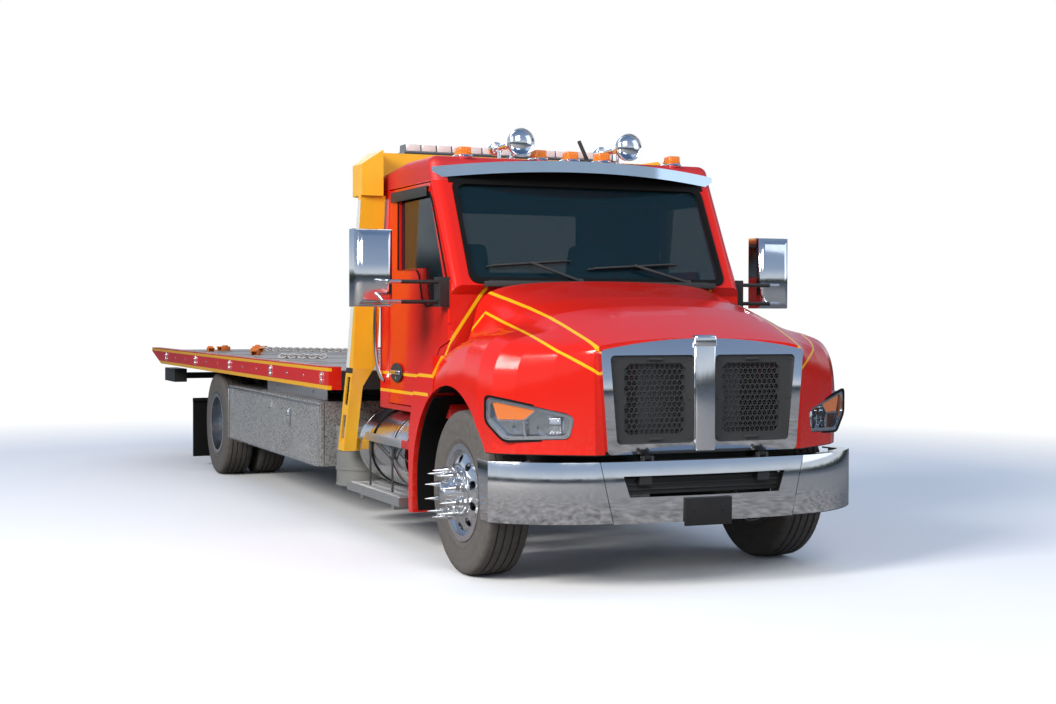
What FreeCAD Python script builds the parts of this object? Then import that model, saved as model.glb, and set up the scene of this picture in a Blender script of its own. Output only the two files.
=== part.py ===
import FreeCAD, Part
import math
import os
import types
import Sketcher

# A two-axle rollback tow truck: conventional cab, sliding and tilting deck, winch and rear wheel lift.
# X points to the truck's left, Y to its rear and Z up. The origin is on the ground, under the middle.

SIZES = {
    # Places along and up the truck
    "wheelbase": 6730,
    "front_overhang": 1030,
    "rear_overhang": 3140,
    "axle_height": 505,
    "seat_gap": 0.3,
    "run_gap": 6,
    "overrun": 40,
    # Chassis rails
    "rail_outer": 430,
    "rail_top": 880,
    "rail_depth": 260,
    "rail_flange": 80,
    "rail_wall": 10,
    "rail_front_reach": 820,
    "pivot_back": 8600,
    "pivot_height": 950,
    "pivot_pin_radius": 25,
    "pivot_ear_wall": 24,
    "pivot_ear_round": 50,
    "pivot_ear_run": 180,
    "pin_gap": 0.4,
    "cross_width": 90,
    "cross_depth": 130,
    # Engine and radiator
    "engine_half_width": 300,
    "engine_front": 500,
    "engine_back": 400,
    "engine_bottom": 590,
    "engine_top": 1320,
    "gearbox_half_width": 190,
    "gearbox_length": 850,
    "radiator_half_width": 345,
    "radiator_back": 700,
    "radiator_depth": 90,
    "radiator_top": 1330,
    # Axles, springs and shaft
    "beam_half_width": 50,
    "beam_half_height": 45,
    "king_pin_side": 860,
    "king_pin_radius": 18,
    "king_boss_radius": 42,
    "king_boss_half": 60,
    "king_lug": 70,
    "housing_radius": 70,
    "housing_half_length": 570,
    "diff_radius": 190,
    "diff_half_width": 120,
    "spring_side": 390,
    "spring_width": 76,
    "front_spring_length": 1240,
    "rear_spring_length": 1440,
    "shaft_radius": 45,
    "spindle_radius": 35,
    # Wheels and tyres
    "tyre_radius": 505,
    "tyre_width": 280,
    "tread_half": 118,
    "sidewall_radius": 400,
    "rim_lip_radius": 298,
    "rim_barrel_radius": 272,
    "rim_half_width": 130,
    "rim_lip_wall": 10,
    "rim_wall": 10,
    "disc_wall": 24,
    "front_tyre_side": 1018,
    "front_disc_out": 78,
    "hub_radius": 112,
    "hub_inner_reach": 60,
    "cap_radius": 82,
    "front_cap_length": 78,
    "nut_circle": 142,
    "nut_radius": 21,
    "nut_length": 46,
    "nut_spike": 52,
    "hand_hole_circle": 205,
    "hand_hole_radius": 30,
    "dual_outer_side": 1074,
    "dual_spacing": 340,
    "rear_cap_length": 120,
    # Bumper
    "bumper_top": 755,
    "bumper_bottom": 400,
    "bumper_wall": 10,
    "bumper_flange": 70,
    "seam_top_side": 670,
    "seam_bottom_side": 590,
    "seam_gap": 4,
    "seam_back": 975,
    "wing_side": 1226,
    "wing_back": 645,
    "wing_end_side": 1212,
    "wing_end_back": 440,
    "wing_low_back": 520,
    "tyre_sweep": 545,
    "wing_stay_front": 890,
    "wing_stay_depth": 40,
    "wing_stay_reach": 920,
    "wing_stay_low": 640,
    "wing_stay_high": 700,
    "centre_bow_radius": 5242,
    "wing_bow_radius": 900,
    "slot_half_width": 533,
    "slot_top": 672,
    "slot_bottom": 551,
    "plate_half_width": 153,
    "plate_top": 535,
    "plate_bottom": 376,
    "plate_wall": 12,
    "plate_hole_half": 89,
    "plate_hole_radius": 4,
    # Hood
    "hood_half_width": 1205,
    "hood_hem": 787,
    "hood_nose": 930,
    "hood_back": 345,
    "hood_rear_top": 1815,
    "hood_wall": 14,
    "arch_radius": 650,
    "arch_back": 90,
    "arch_inner_side": 560,
    "liner_radius": 668,
    "liner_back": 25,
    "liner_wall": 8,
    "liner_side": 500,
    "hinge_front": 985,
    "hinge_height": 772,
    "hinge_side": 380,
    "hinge_pin_radius": 8,
    "hinge_eye_radius": 13,
    "hinge_arm": 36,
    # Grille
    "grille_top_side": 670,
    "grille_bottom_side": 624,
    "grille_bottom": 795,
    "grille_side_top": 1390,
    "grille_mid_top": 1458,
    "grille_depth": 44,
    "grille_bar_half": 70,
    "grille_border": 58,
    "grille_round": 26,
    "mesh_wall": 14,
    "mesh_inset": 12,
    "mesh_sheet": 4,
    "mesh_border": 48,
    "mesh_corner": 34,
    "mesh_tab": 16,
    "mesh_tab_half": 34,
    "mesh_handle_radius": 11,
    "mesh_handle_length": 84,
    # Headlamps
    "lamp_inner_side": 777,
    "lamp_inner_front": 862,
    "lamp_outer_side": 1219,
    "lamp_outer_front": 590,
    "lamp_depth": 110,
    "lamp_wall": 12,
    "lamp_low": 868,
    "lamp_inner_top": 1030,
    "lamp_outer_top": 1125,
    "lamp_round": 40,
    "lamp_cup_radius": 58,
    "lamp_cup_wall": 4,
    "lamp_cup_height": 948,
    # Cab
    "cab_half_width": 1050,
    "cab_wall": 60,
    "cab_front": 440,
    "cab_back": 1900,
    "cab_bottom": 925,
    "glass_foot_back": 400,
    "glass_foot": 1780,
    "header_back": 800,
    "header": 2530,
    "brow_back": 850,
    "roof_peak_back": 1400,
    "roof_peak": 2645,
    "roof_rear": 2600,
    "roof_seam": 2475,
    "roof_round": 70,
    "glass_half_width": 905,
    "glass_wall": 12,
    "glass_low": 1815,
    "glass_high": 2495,
    "rear_glass_half": 520,
    "rear_glass_low": 1880,
    "rear_glass_high": 2360,
    # Doors
    "door_front": 450,
    "door_back": 1700,
    "door_bottom": 960,
    "door_toe_back": 1060,
    "door_knee_back": 640,
    "door_knee": 1370,
    "door_shoulder": 1420,
    "door_belt_front": 1800,
    "door_head_front": 830,
    "door_head": 2470,
    "door_gap": 8,
    "door_hinge_low": 1478,
    "door_hinge_high": 1584,
    "door_hinge_radius": 14,
    "door_hinge_half": 18,
    "door_hinge_lug": 26,
    "door_pin_radius": 7,
    "pane_back": 1480,
    "pane_front_low": 500,
    "pane_dip": 1655,
    "pane_dip_back": 900,
    "pane_low": 1900,
    "pane_front_top": 838,
    "pane_top": 2385,
    "handle_back": 1500,
    "handle_height": 1185,
    "handle_radius": 62,
    "handle_wall": 14,
    # Mirrors
    "mirror_inner": 1358,
    "mirror_outer": 1611,
    "mirror_back": 660,
    "mirror_low": 1640,
    "mirror_high": 2140,
    "mirror_depth": 150,
    "mirror_round": 46,
    "mirror_arm_radius": 13,
    "mirror_arm_high": 1800,
    "mirror_arm_low": 1672,
    "mirror_block_wide": 62,
    "mirror_block_long": 120,
    "mirror_block_high": 190,
    # Cab inside
    "dash_back": 860,
    "dash_top": 1760,
    "dash_low": 1330,
    "dash_lip": 120,
    "wheel_ring_radius": 225,
    "wheel_ring_wire": 16,
    "wheel_side": 500,
    "wheel_back": 1050,
    "wheel_height": 1690,
    "column_radius": 24,
    "column_length": 340,
    "seat_side": 500,
    "seat_half_width": 250,
    "seat_front": 1090,
    "seat_depth": 500,
    "cushion_low": 1330,
    "cushion_high": 1460,
    "seat_back_wall": 130,
    "seat_back_high": 2130,
    "pedestal_inset": 60,
    # Roof furniture
    "visor_half_width": 1048,
    "visor_front": 640,
    "visor_end_back": 800,
    "visor_end_low": 2488,
    "visor_depth": 75,
    "visor_crown": 58,
    "marker_length": 120,
    "marker_width": 96,
    "marker_height": 46,
    "marker_inner_side": 239,
    "marker_outer_side": 789,
    "marker_front": 860,
    "horn_side": 405,
    "horn_front": 818,
    "horn_rise": 107,
    "horn_bell_radius": 96,
    "horn_throat_radius": 17,
    "horn_length": 450,
    "horn_post_radius": 14,
    # Arch behind the cab
    "arch_side": 1250,
    "arch_leg_wall": 12,
    "arch_foot": 590,
    "arch_foot_front": 2150,
    "arch_foot_back": 2300,
    "arch_knee": 1200,
    "arch_knee_front": 1925,
    "arch_knee_back": 2085,
    "arch_head": 2430,
    "arch_head_front": 1730,
    "arch_head_back": 1790,
    "arch_plate_foot": 1250,
    "arch_plate_inner": 1068,
    "beam_top": 2757,
    "beam_corner_side": 1090,
    "beam_corner_low": 2651,
    "beam_front": 1925,
    "beam_depth": 200,
    "foot_bar_height": 90,
    "light_bar_half": 860,
    "light_bar_width": 150,
    "light_bar_height": 74,
    "light_bar_base": 18,
    # Side gear
    "tank_radius": 272,
    "tank_side": 868,
    "tank_front": 1090,
    "tank_length": 1040,
    "tank_height": 640,
    "strap_width": 50,
    "strap_wall": 6,
    "tank_cap_radius": 48,
    "tank_cap_height": 60,
    "step_front": 1020,
    "step_length": 1200,
    "step_inner": 930,
    "step_outer": 1205,
    "step_top": 365,
    "step_wall": 62,
    "step_hanger": 46,
    "canister_radius": 200,
    "canister_side": 985,
    "canister_back": 2530,
    "canister_low": 300,
    "canister_high": 750,
    "canister_band": 26,
    "band_proud": 8,
    "box_front": 2900,
    "box_tyre_gap": 85,
    "box_inner": 720,
    "box_outer": 1210,
    "box_low": 410,
    "box_high": 910,
    "box_wall": 14,
    "box_door_wall": 24,
    "box_bracket": 70,
    "box_hinge_drop": 12,
    "box_hinge_radius": 7,
    "box_hinge_half": 40,
    "box_pin_radius": 4,
    "flap_back": 7640,
    "flap_wall": 12,
    "flap_inner": 620,
    "flap_outer": 1260,
    "flap_low": 100,
    "flap_high": 690,
    "flap_bar_radius": 24,
    "quarter_width": 160,
    "quarter_low": 300,
    "quarter_lip": 12,
    # Tilting frame
    "tilt_outer": 410,
    "tilt_inner": 330,
    "tilt_low": 887,
    "tilt_high": 1000,
    "tilt_front": 2650,
    "tilt_back": 9120,
    "tie_wall": 16,
    "barrel_radius": 52,
    "barrel_bore": 42,
    "rod_radius": 30,
    "slide_height": 952,
    "slide_barrel_front": 2760,
    "slide_barrel_length": 3620,
    "slide_rod_front": 2860,
    "slide_eye_back": 6520,
    "slide_eye_length": 90,
    "slide_eye_half": 55,
    "ram_barrel_radius": 48,
    "ram_bore": 38,
    "ram_rod_radius": 27,
    "ram_side": 240,
    "ram_foot_back": 3900,
    "ram_foot_height": 705,
    "ram_head_back": 5200,
    "ram_head_height": 842,
    "ram_pin_radius": 20,
    "ram_eye_radius": 38,
    # Deck
    "deck_front": 2400,
    "deck_half_width": 1295,
    "deck_rail_wall": 100,
    "deck_rail_low": 1027,
    "deck_rail_high": 1200,
    "deck_tail_back": 9300,
    "deck_tip_low": 1158,
    "deck_floor_high": 1172,
    "deck_floor_wall": 20,
    "deck_cross_low": 1082,
    "deck_beam_inner": 418,
    "deck_beam_outer": 482,
    "deck_beam_low": 1010,
    "bulkhead_wall": 40,
    "winch_side": 330,
    "winch_wall": 22,
    "winch_front": 2500,
    "winch_length": 320,
    "winch_top": 1470,
    "winch_axis_height": 1330,
    "drum_flange_radius": 108,
    "drum_flange_wall": 14,
    "drum_core_radius": 62,
    "drum_pin_radius": 24,
    "gear_radius": 105,
    "gear_length": 130,
    # Wheel lift
    "lift_pin_back": 8750,
    "lift_pin_height": 800,
    "lift_pin_radius": 22,
    "lift_half_width": 90,
    "lift_half_height": 52,
    "lift_wall": 10,
    "lift_front": 8695,
    "lift_back": 9530,
    "lift_ear_wall": 20,
    "slider_gap": 0.3,
    "slider_front": 8830,
    "yaw_back": 9640,
    "yaw_radius": 30,
    "bar_half_length": 1010,
    "bar_half_width": 60,
    "bar_high": 910,
    "claw_outer": 1150,
    "claw_front": 9250,
    "claw_back": 9850,
    "claw_low": 815,
    "claw_high": 965,
}

# Hand-picked shares of the hood's half width (first) and of its rear height (second), hem to crown,
# for each station back from the nose; the station itself is a share of the hood's length.
HEX_COLUMN_COUNT = 12
HEX_ROW_COUNT = 13
# Place along the headlamp and share of the largest reflector's radius, for each reflector.
LAMP_CUP_SHARES = ((0.34, 1.0), (0.64, 0.75))
HOOD_STATION_SHARES = (0.0, 0.10, 0.20, 0.29, 0.42, 0.60, 0.80, 1.0)
HOOD_WIDTH_SHARES = (
    (0.565, 0.570, 0.573, 0.573, 0.571, 0.565, 0.530, 0.300, 0.0),
    (0.735, 0.745, 0.745, 0.720, 0.665, 0.620, 0.560, 0.320, 0.0),
    (0.885, 0.895, 0.890, 0.835, 0.730, 0.650, 0.585, 0.340, 0.0),
    (0.970, 0.980, 0.965, 0.890, 0.770, 0.670, 0.600, 0.350, 0.0),
    (0.997, 1.000, 0.985, 0.905, 0.785, 0.690, 0.620, 0.370, 0.0),
    (1.000, 1.003, 0.992, 0.905, 0.790, 0.710, 0.650, 0.400, 0.0),
    (1.000, 1.003, 0.994, 0.915, 0.800, 0.735, 0.690, 0.430, 0.0),
    (1.000, 1.003, 0.994, 0.930, 0.810, 0.770, 0.740, 0.470, 0.0),
)
HOOD_HEIGHT_SHARES = (
    (0.500, 0.600, 0.680, 0.735, 0.760, 0.772, 0.784, 0.800, 0.806),
    (0.585, 0.590, 0.690, 0.760, 0.780, 0.790, 0.806, 0.825, 0.832),
    (0.585, 0.590, 0.700, 0.775, 0.796, 0.808, 0.826, 0.850, 0.857),
    (0.585, 0.600, 0.722, 0.795, 0.810, 0.824, 0.846, 0.872, 0.880),
    (0.585, 0.610, 0.745, 0.812, 0.820, 0.842, 0.874, 0.902, 0.910),
    (0.585, 0.615, 0.760, 0.815, 0.815, 0.862, 0.905, 0.934, 0.942),
    (0.585, 0.605, 0.735, 0.790, 0.795, 0.868, 0.936, 0.962, 0.970),
    (0.585, 0.580, 0.690, 0.745, 0.760, 0.850, 0.962, 0.992, 1.000),
)
CROSSMEMBER_SHARES = (0.01, 0.24, 0.31, 0.44, 0.69, 0.85, 0.985)
HOOD_LINER_ANGLES = (155, 64)
QUARTER_LINER_ANGLES = (58, -16)
BOX_HINGE_SHARES = (0.12, 0.88)
BLUNT_SHARE = 0.6
GEARBOX_SHARE = 0.35
TINY_SHARE = 1e-6
NUT_COUNT = 10
DECK_CROSS_COUNT = 13

doc = FreeCAD.newDocument("TowTruck")


class Size:
    """A length that carries its number and the sheet formula that it comes from."""

    def __init__(self, value, text):
        self.value = value
        self.text = text

    def __add__(self, other):
        other = as_size(other)
        return Size(self.value + other.value, f"({self.text} + {other.text})")

    def __sub__(self, other):
        other = as_size(other)
        return Size(self.value - other.value, f"({self.text} - {other.text})")

    def __rsub__(self, other):
        return as_size(other) - self

    def __mul__(self, other):
        other = as_size(other)
        return Size(self.value * other.value, f"({self.text} * {other.text})")

    def __truediv__(self, other):
        other = as_size(other)
        return Size(self.value / other.value, f"({self.text} / {other.text})")

    def __neg__(self):
        return Size(-self.value, f"(0 - {self.text})")

    __radd__ = __add__
    __rmul__ = __mul__


def as_size(number):
    """Wraps a plain number, so that it can stand in a formula."""
    if isinstance(number, Size):
        return number
    return Size(float(number), repr(float(number)))


def root(size):
    return Size(math.sqrt(size.value), f"sqrt({size.text})")


def slope_angle(rise, run):
    """The angle in degrees of a line that climbs by rise over run."""
    return Size(math.degrees(math.atan2(rise.value, run.value)), f"atan2({rise.text}; {run.text})")


def fill_sheet():
    """Writes every driving size to the sheet and reads it back with its alias."""
    sheet = doc.addObject("Spreadsheet::Sheet", "Sizes")
    for row, (name, number) in enumerate(SIZES.items(), start=1):
        sheet.set(f"A{row}", name)
        sheet.set(f"B{row}", str(number))
        sheet.setAlias(f"B{row}", name)
    doc.recompute()
    return types.SimpleNamespace(**{name: Size(float(sheet.get(name)), f"Sizes.{name}") for name in SIZES})


s = fill_sheet()
front_axle = (s.front_overhang - s.wheelbase - s.rear_overhang) / 2


def back(size):
    """A place along Y, from how far it lies behind the front axle."""
    return front_axle + size


def ahead(size):
    return front_axle - size


def bind(item, path, size):
    item.setExpression(path, as_size(size).text)


def move(item, x=0, y=0, z=0):
    for axis, size in zip("xyz", (x, y, z)):
        bind(item, f"Placement.Base.{axis}", size)
    return item


def block(name, x, y, z):
    """A box between two places on each axis."""
    item = doc.addObject("Part::Box", name)
    bind(item, "Length", x[1] - x[0])
    bind(item, "Width", y[1] - y[0])
    bind(item, "Height", z[1] - z[0])
    return move(item, x[0], y[0], z[0])


TURNS = {
    "X": FreeCAD.Rotation(FreeCAD.Vector(0, 1, 0), 90),
    "Y": FreeCAD.Rotation(FreeCAD.Vector(1, 0, 0), -90),
    "Z": FreeCAD.Rotation(),
}


def rod(name, radius, start, length, axis):
    """A cylinder from a start point along an axis."""
    item = doc.addObject("Part::Cylinder", name)
    bind(item, "Radius", radius)
    bind(item, "Height", length)
    item.Placement = FreeCAD.Placement(FreeCAD.Vector(), TURNS[axis])
    return move(item, *start)


def joined(name, pieces):
    item = doc.addObject("Part::MultiFuse", name)
    item.Shapes = pieces
    return item


def cut(name, base, tools):
    item = doc.addObject("Part::Cut", name)
    item.Base = base
    item.Tool = tools[0] if len(tools) == 1 else joined(f"{name}_tools", tools)
    return item


def common(name, base, zone):
    item = doc.addObject("Part::Common", name)
    item.Base = base
    item.Tool = zone
    return item


def grouped(name, pieces):
    """Like pieces that don't touch, kept together."""
    item = doc.addObject("Part::Compound", name)
    item.Links = pieces
    return item


def mirrored(name, source):
    item = doc.addObject("Part::Mirroring", name)
    item.Source = source
    item.Normal = (1, 0, 0)
    return item


def pair(name, left):
    """A left piece and its mirror image on the right."""
    return grouped(name, [left, mirrored(f"{name}_mirror", left)])


def plane_of(body, role):
    return next(feature for feature in body.Origin.OriginFeatures if feature.Role == role)


def both_sides(half):
    """Closes an outline that runs from the middle out and is the same on both sides."""
    corners = list(half)
    other = []
    for index in range(len(corners) - 1, -1, -1):
        arc = corners[index - 1][2:] if index > 0 else ()
        other.append((-corners[index][0], corners[index][1], *arc))
    return corners + other


def arc_centre(start, end, radius, turn):
    """The centre of the arc from start to end that turns left (1) or right (-1)."""
    across = (end[0] - start[0], end[1] - start[1])
    span = math.hypot(*across)
    rise = math.sqrt(max(radius * radius - span * span / 4, 0))
    left = (-across[1] / span, across[0] / span)
    middle = ((start[0] + end[0]) / 2, (start[1] + end[1]) / 2)
    return (middle[0] + turn * left[0] * rise, middle[1] + turn * left[1] * rise)


def pin_down(sketch, edge, end, corner):
    """Ties one end of a sketch edge to its place from the sheet."""
    for kind, size in (("DistanceX", corner[0]), ("DistanceY", corner[1])):
        size = as_size(size)
        number = sketch.addConstraint(Sketcher.Constraint(kind, -1, 1, edge, end, size.value))
        sketch.setExpression(f"Constraints[{number}]", size.text)


def trace(sketch, corners):
    """Draws a closed outline. A corner is (u, v), or (u, v, radius, turn) before an arc."""
    first = sketch.GeometryCount
    places = [(as_size(corner[0]).value, as_size(corner[1]).value) for corner in corners]
    ends = []
    for index, corner in enumerate(corners):
        start = places[index]
        end = places[(index + 1) % len(corners)]
        if len(corner) == 2:
            line = Part.LineSegment(FreeCAD.Vector(*start, 0), FreeCAD.Vector(*end, 0))
            sketch.addGeometry(line, False)
            ends.append((1, 2))
            continue
        turn = corner[3]
        centre = arc_centre(start, end, corner[2].value, turn)
        circle = Part.Circle(FreeCAD.Vector(*centre, 0), FreeCAD.Vector(0, 0, 1), corner[2].value)
        low, high = (start, end) if turn > 0 else (end, start)
        angles = [math.atan2(place[1] - centre[1], place[0] - centre[0]) for place in (low, high)]
        if angles[1] < angles[0]:
            angles[1] += math.tau
        sketch.addGeometry(Part.ArcOfCircle(circle, *angles), False)
        ends.append((1, 2) if turn > 0 else (2, 1))
    for index, corner in enumerate(corners):
        following = (index + 1) % len(corners)
        link = (first + index, ends[index][1], first + following, ends[following][0])
        sketch.addConstraint(Sketcher.Constraint("Coincident", *link))
    for index, corner in enumerate(corners):
        pin_down(sketch, first + index, ends[index][0], corner)
        if len(corner) == 4:
            rule = Sketcher.Constraint("Radius", first + index, corner[2].value)
            number = sketch.addConstraint(rule)
            sketch.setExpression(f"Constraints[{number}]", corner[2].text)


def ring(sketch, u, v, radius):
    """Draws a full circle."""
    u, v, radius = as_size(u), as_size(v), as_size(radius)
    circle = Part.Circle(FreeCAD.Vector(u.value, v.value, 0), FreeCAD.Vector(0, 0, 1), radius.value)
    edge = sketch.addGeometry(circle, False)
    pin_down(sketch, edge, 3, (u, v))
    number = sketch.addConstraint(Sketcher.Constraint("Radius", edge, radius.value))
    sketch.setExpression(f"Constraints[{number}]", radius.text)


def sketch_in(body, name, role, offset, outlines=(), rings=()):
    """A sketch on one of the body's main planes, moved along Y, X or Z by the offset."""
    sketch = body.newObject("Sketcher::SketchObject", name)
    sketch.AttachmentSupport = [(plane_of(body, role), "")]
    sketch.MapMode = "FlatFace"
    bind(sketch, "AttachmentOffset.Base.z", -as_size(offset) if role == "XZ_Plane" else offset)
    for outline in outlines:
        trace(sketch, outline)
    for circle in rings:
        ring(sketch, *circle)
    return sketch


def pad(body, sketch, name, length, role):
    feature = body.newObject("PartDesign::Pad", name)
    feature.Profile = sketch
    bind(feature, "Length", length)
    feature.Reversed = role == "XZ_Plane"
    return feature


def pocket(body, sketch, name, length, role):
    """Cuts the sketch out of the body, toward the positive side of the plane's axis."""
    feature = body.newObject("PartDesign::Pocket", name)
    feature.Profile = sketch
    bind(feature, "Length", length)
    feature.Reversed = role != "XZ_Plane"
    return feature


def prism(name, role, outline, low, high, holes=()):
    """A body padded from an outline between two places along the axis square to it."""
    body = doc.addObject("PartDesign::Body", name)
    outlines = [outline, *holes]
    sketch = sketch_in(body, f"{name}_outline", role, low, outlines)
    pad(body, sketch, f"{name}_pad", high - low, role)
    return body


def rounded(body, name, radius, chosen):
    """Rounds the edges of the body's tip that the test chooses."""
    doc.recompute()
    tip = body.Tip
    names = [f"Edge{number}" for number, edge in enumerate(tip.Shape.Edges, start=1) if chosen(edge)]
    feature = body.newObject("PartDesign::Fillet", name)
    feature.Base = (tip, names)
    bind(feature, "Radius", radius)
    return feature


def along(edge, axis):
    """Whether an edge is straight and runs along an axis."""
    if edge.Curve.TypeId != "Part::GeomLine":
        return False
    direction = edge.tangentAt(edge.FirstParameter)
    return abs(abs(direction[axis]) - 1) < TINY_SHARE


def turned(name, outline, x, y, z):
    """A body of revolution about an axis along X, from (place along X, radius) corners."""
    body = doc.addObject("PartDesign::Body", name)
    sketch = sketch_in(body, f"{name}_outline", "XZ_Plane", 0, [outline])
    feature = body.newObject("PartDesign::Revolution", f"{name}_turn")
    feature.Profile = sketch
    feature.ReferenceAxis = (sketch, ["H_Axis"])
    feature.Angle = 360
    return move(body, x, y, z)


rail_low = s.rail_top - s.rail_depth
rail_web = s.rail_outer - s.rail_wall
rail_flange_side = s.rail_outer - s.rail_flange
cross_low = rail_low + s.rail_wall * 3
cross_high = cross_low + s.cross_depth
rear_axle = back(s.wheelbase)
tilt_pivot = back(s.pivot_back)
box_length = s.wheelbase - s.tyre_radius - s.box_tyre_gap - s.box_front
horn_height = s.roof_peak + s.horn_rise
beam_high = s.axle_height + s.beam_half_height
housing_high = s.axle_height + s.housing_radius
spindle_bore = s.spindle_radius + s.pin_gap
tail = back(s.wheelbase + s.rear_overhang)


def frame_rails():
    """Two channel rails, their crossmembers, the rear pivot ears and the rams' foot bar."""
    low, high, wall = rail_low, s.rail_top, s.rail_wall
    channel = [
        (s.rail_outer, low),
        (s.rail_outer, high),
        (rail_flange_side, high),
        (rail_flange_side, high - wall),
        (rail_web, high - wall),
        (rail_web, low + wall),
        (rail_flange_side, low + wall),
        (rail_flange_side, low),
    ]
    rail = prism("rail", "XZ_Plane", channel, ahead(s.rail_front_reach), tilt_pivot)
    ear_side = [
        (tilt_pivot - s.pivot_ear_run, low),
        (tilt_pivot, low),
        (tilt_pivot + s.pivot_ear_round, s.pivot_height),
        (tilt_pivot - s.pivot_ear_round, s.pivot_height),
        (tilt_pivot - s.pivot_ear_run, high),
    ]
    ear = prism("pivot_ear", "YZ_Plane", ear_side, s.rail_outer, s.rail_outer + s.pivot_ear_wall)
    ear_start = (s.rail_outer, tilt_pivot, s.pivot_height)
    ear_top = rod("pivot_ear_top", s.pivot_ear_round, ear_start, s.pivot_ear_wall, "X")
    pin_inner = s.tilt_inner - s.run_gap
    pin_length = s.rail_outer + s.pivot_ear_wall - pin_inner
    pin = rod("pivot_pin", s.pivot_pin_radius, (pin_inner, tilt_pivot, s.pivot_height), pin_length, "X")
    foot = back(s.ram_foot_back)
    foot_bar = rod("ram_foot_bar", s.ram_pin_radius, (-rail_web, foot, s.ram_foot_height), rail_web * 2, "X")
    left = [rail, ear, ear_top, pin]
    pieces = [*left, *[mirrored(f"{piece.Name}_right", piece) for piece in left], foot_bar]
    length = s.rail_front_reach + s.pivot_back
    for number, share in enumerate(CROSSMEMBER_SHARES, start=1):
        middle = ahead(s.rail_front_reach) + length * share
        y = (middle - s.cross_width / 2, middle + s.cross_width / 2)
        pieces.append(block(f"crossmember_{number}", (-rail_web, rail_web), y, (cross_low, cross_high)))
    return joined("frame_rails", pieces)


def engine_block():
    half = s.engine_half_width
    back_end = back(s.engine_back)
    main = block("engine_main", (-half, half), (ahead(s.engine_front), back_end), (s.engine_bottom, s.engine_top))
    half = s.gearbox_half_width
    height = (s.engine_top - s.engine_bottom) * GEARBOX_SHARE
    low = s.engine_bottom - s.run_gap * 4
    y = (back_end, back_end + s.gearbox_length)
    gearbox = block("gearbox", (-half, half), y, (low, low + height))
    mount_half = s.cross_width / 2
    y = (front_axle - mount_half, front_axle + mount_half)
    mounts = block("engine_mounts", (-rail_web, rail_web), y, (cross_low, cross_low + mount_half))
    return joined("engine_block", [main, gearbox, mounts])


def radiator():
    half = s.radiator_half_width
    y = (ahead(s.radiator_back + s.radiator_depth), ahead(s.radiator_back))
    core = prism("radiator_core", "XZ_Plane", [
        (-half, cross_high),
        (half, cross_high),
        (half, s.radiator_top),
        (-half, s.radiator_top),
    ], *y)
    tank_half = s.radiator_depth * BLUNT_SHARE
    tank_y = (y[0] - s.run_gap, y[1] + s.run_gap)
    low = s.radiator_top - tank_half
    header = block("radiator_header", (-half, half), tank_y, (low, s.radiator_top))
    return joined("radiator", [core, header])


def axles():
    """The steered front beam and the rear housing with its final drive and shaft, on leaf springs."""
    beam_y = (front_axle - s.beam_half_width, front_axle + s.beam_half_width)
    beam_z = (s.axle_height - s.beam_half_height, beam_high)
    beam = block("front_beam", (-s.king_pin_side, s.king_pin_side), beam_y, beam_z)
    low = s.axle_height - s.king_boss_half
    boss = rod("king_boss", s.king_boss_radius, (s.king_pin_side, front_axle, low), s.king_boss_half * 2, "Z")
    bore = rod("king_bore", s.king_pin_radius + s.pin_gap, (s.king_pin_side, front_axle, 0), s.rail_top, "Z")
    solid = joined("front_axle_solid", [beam, boss, mirrored("king_boss_right", boss)])
    front = cut("front_axle", solid, [bore, mirrored("king_bore_right", bore)])
    half = s.housing_half_length
    housing = rod("housing", s.housing_radius, (-half, rear_axle, s.axle_height), half * 2, "X")
    tip = s.dual_outer_side - s.rim_half_width
    spindle = rod("rear_spindle", s.spindle_radius, (-tip, rear_axle, s.axle_height), tip * 2, "X")
    start = (-s.diff_half_width, rear_axle, s.axle_height)
    drive = rod("final_drive", s.diff_radius, start, s.diff_half_width * 2, "X")
    shaft_start = back(s.engine_back + s.gearbox_length)
    shaft_at = (0, shaft_start, s.axle_height + s.shaft_radius * 2)
    shaft = rod("shaft", s.shaft_radius, shaft_at, rear_axle - shaft_start, "Y")
    front_springs = leaf_pack("front_spring", front_axle, s.front_spring_length, beam_high)
    rear_springs = leaf_pack("rear_spring", rear_axle, s.rear_spring_length, housing_high)
    front_parts = [front, front_springs, mirrored("front_spring_right", front_springs)]
    rear_parts = [housing, spindle, drive, shaft, rear_springs, mirrored("rear_spring_right", rear_springs)]
    return grouped("axles", [joined("front_axle_sprung", front_parts), joined("rear_axle", rear_parts)])


def leaf_pack(name, middle, length, seat):
    """A spring pack that sags from the rail's underside to its seat on the axle."""
    half = length / 2
    free = rail_low - seat
    end = rail_low - free / 3
    upper_sag = free * (1 - BLUNT_SHARE)
    lower_sag = end - seat
    radius_up = (upper_sag * upper_sag + half * half) / (upper_sag * 2)
    radius_low = (lower_sag * lower_sag + half * half) / (lower_sag * 2)
    outline = [
        (middle - half, end, radius_low, 1),
        (middle + half, end),
        (middle + half, rail_low, radius_up, -1),
        (middle - half, rail_low),
    ]
    inner = s.spring_side - s.spring_width / 2
    return prism(name, "YZ_Plane", outline, inner, inner + s.spring_width)


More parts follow.
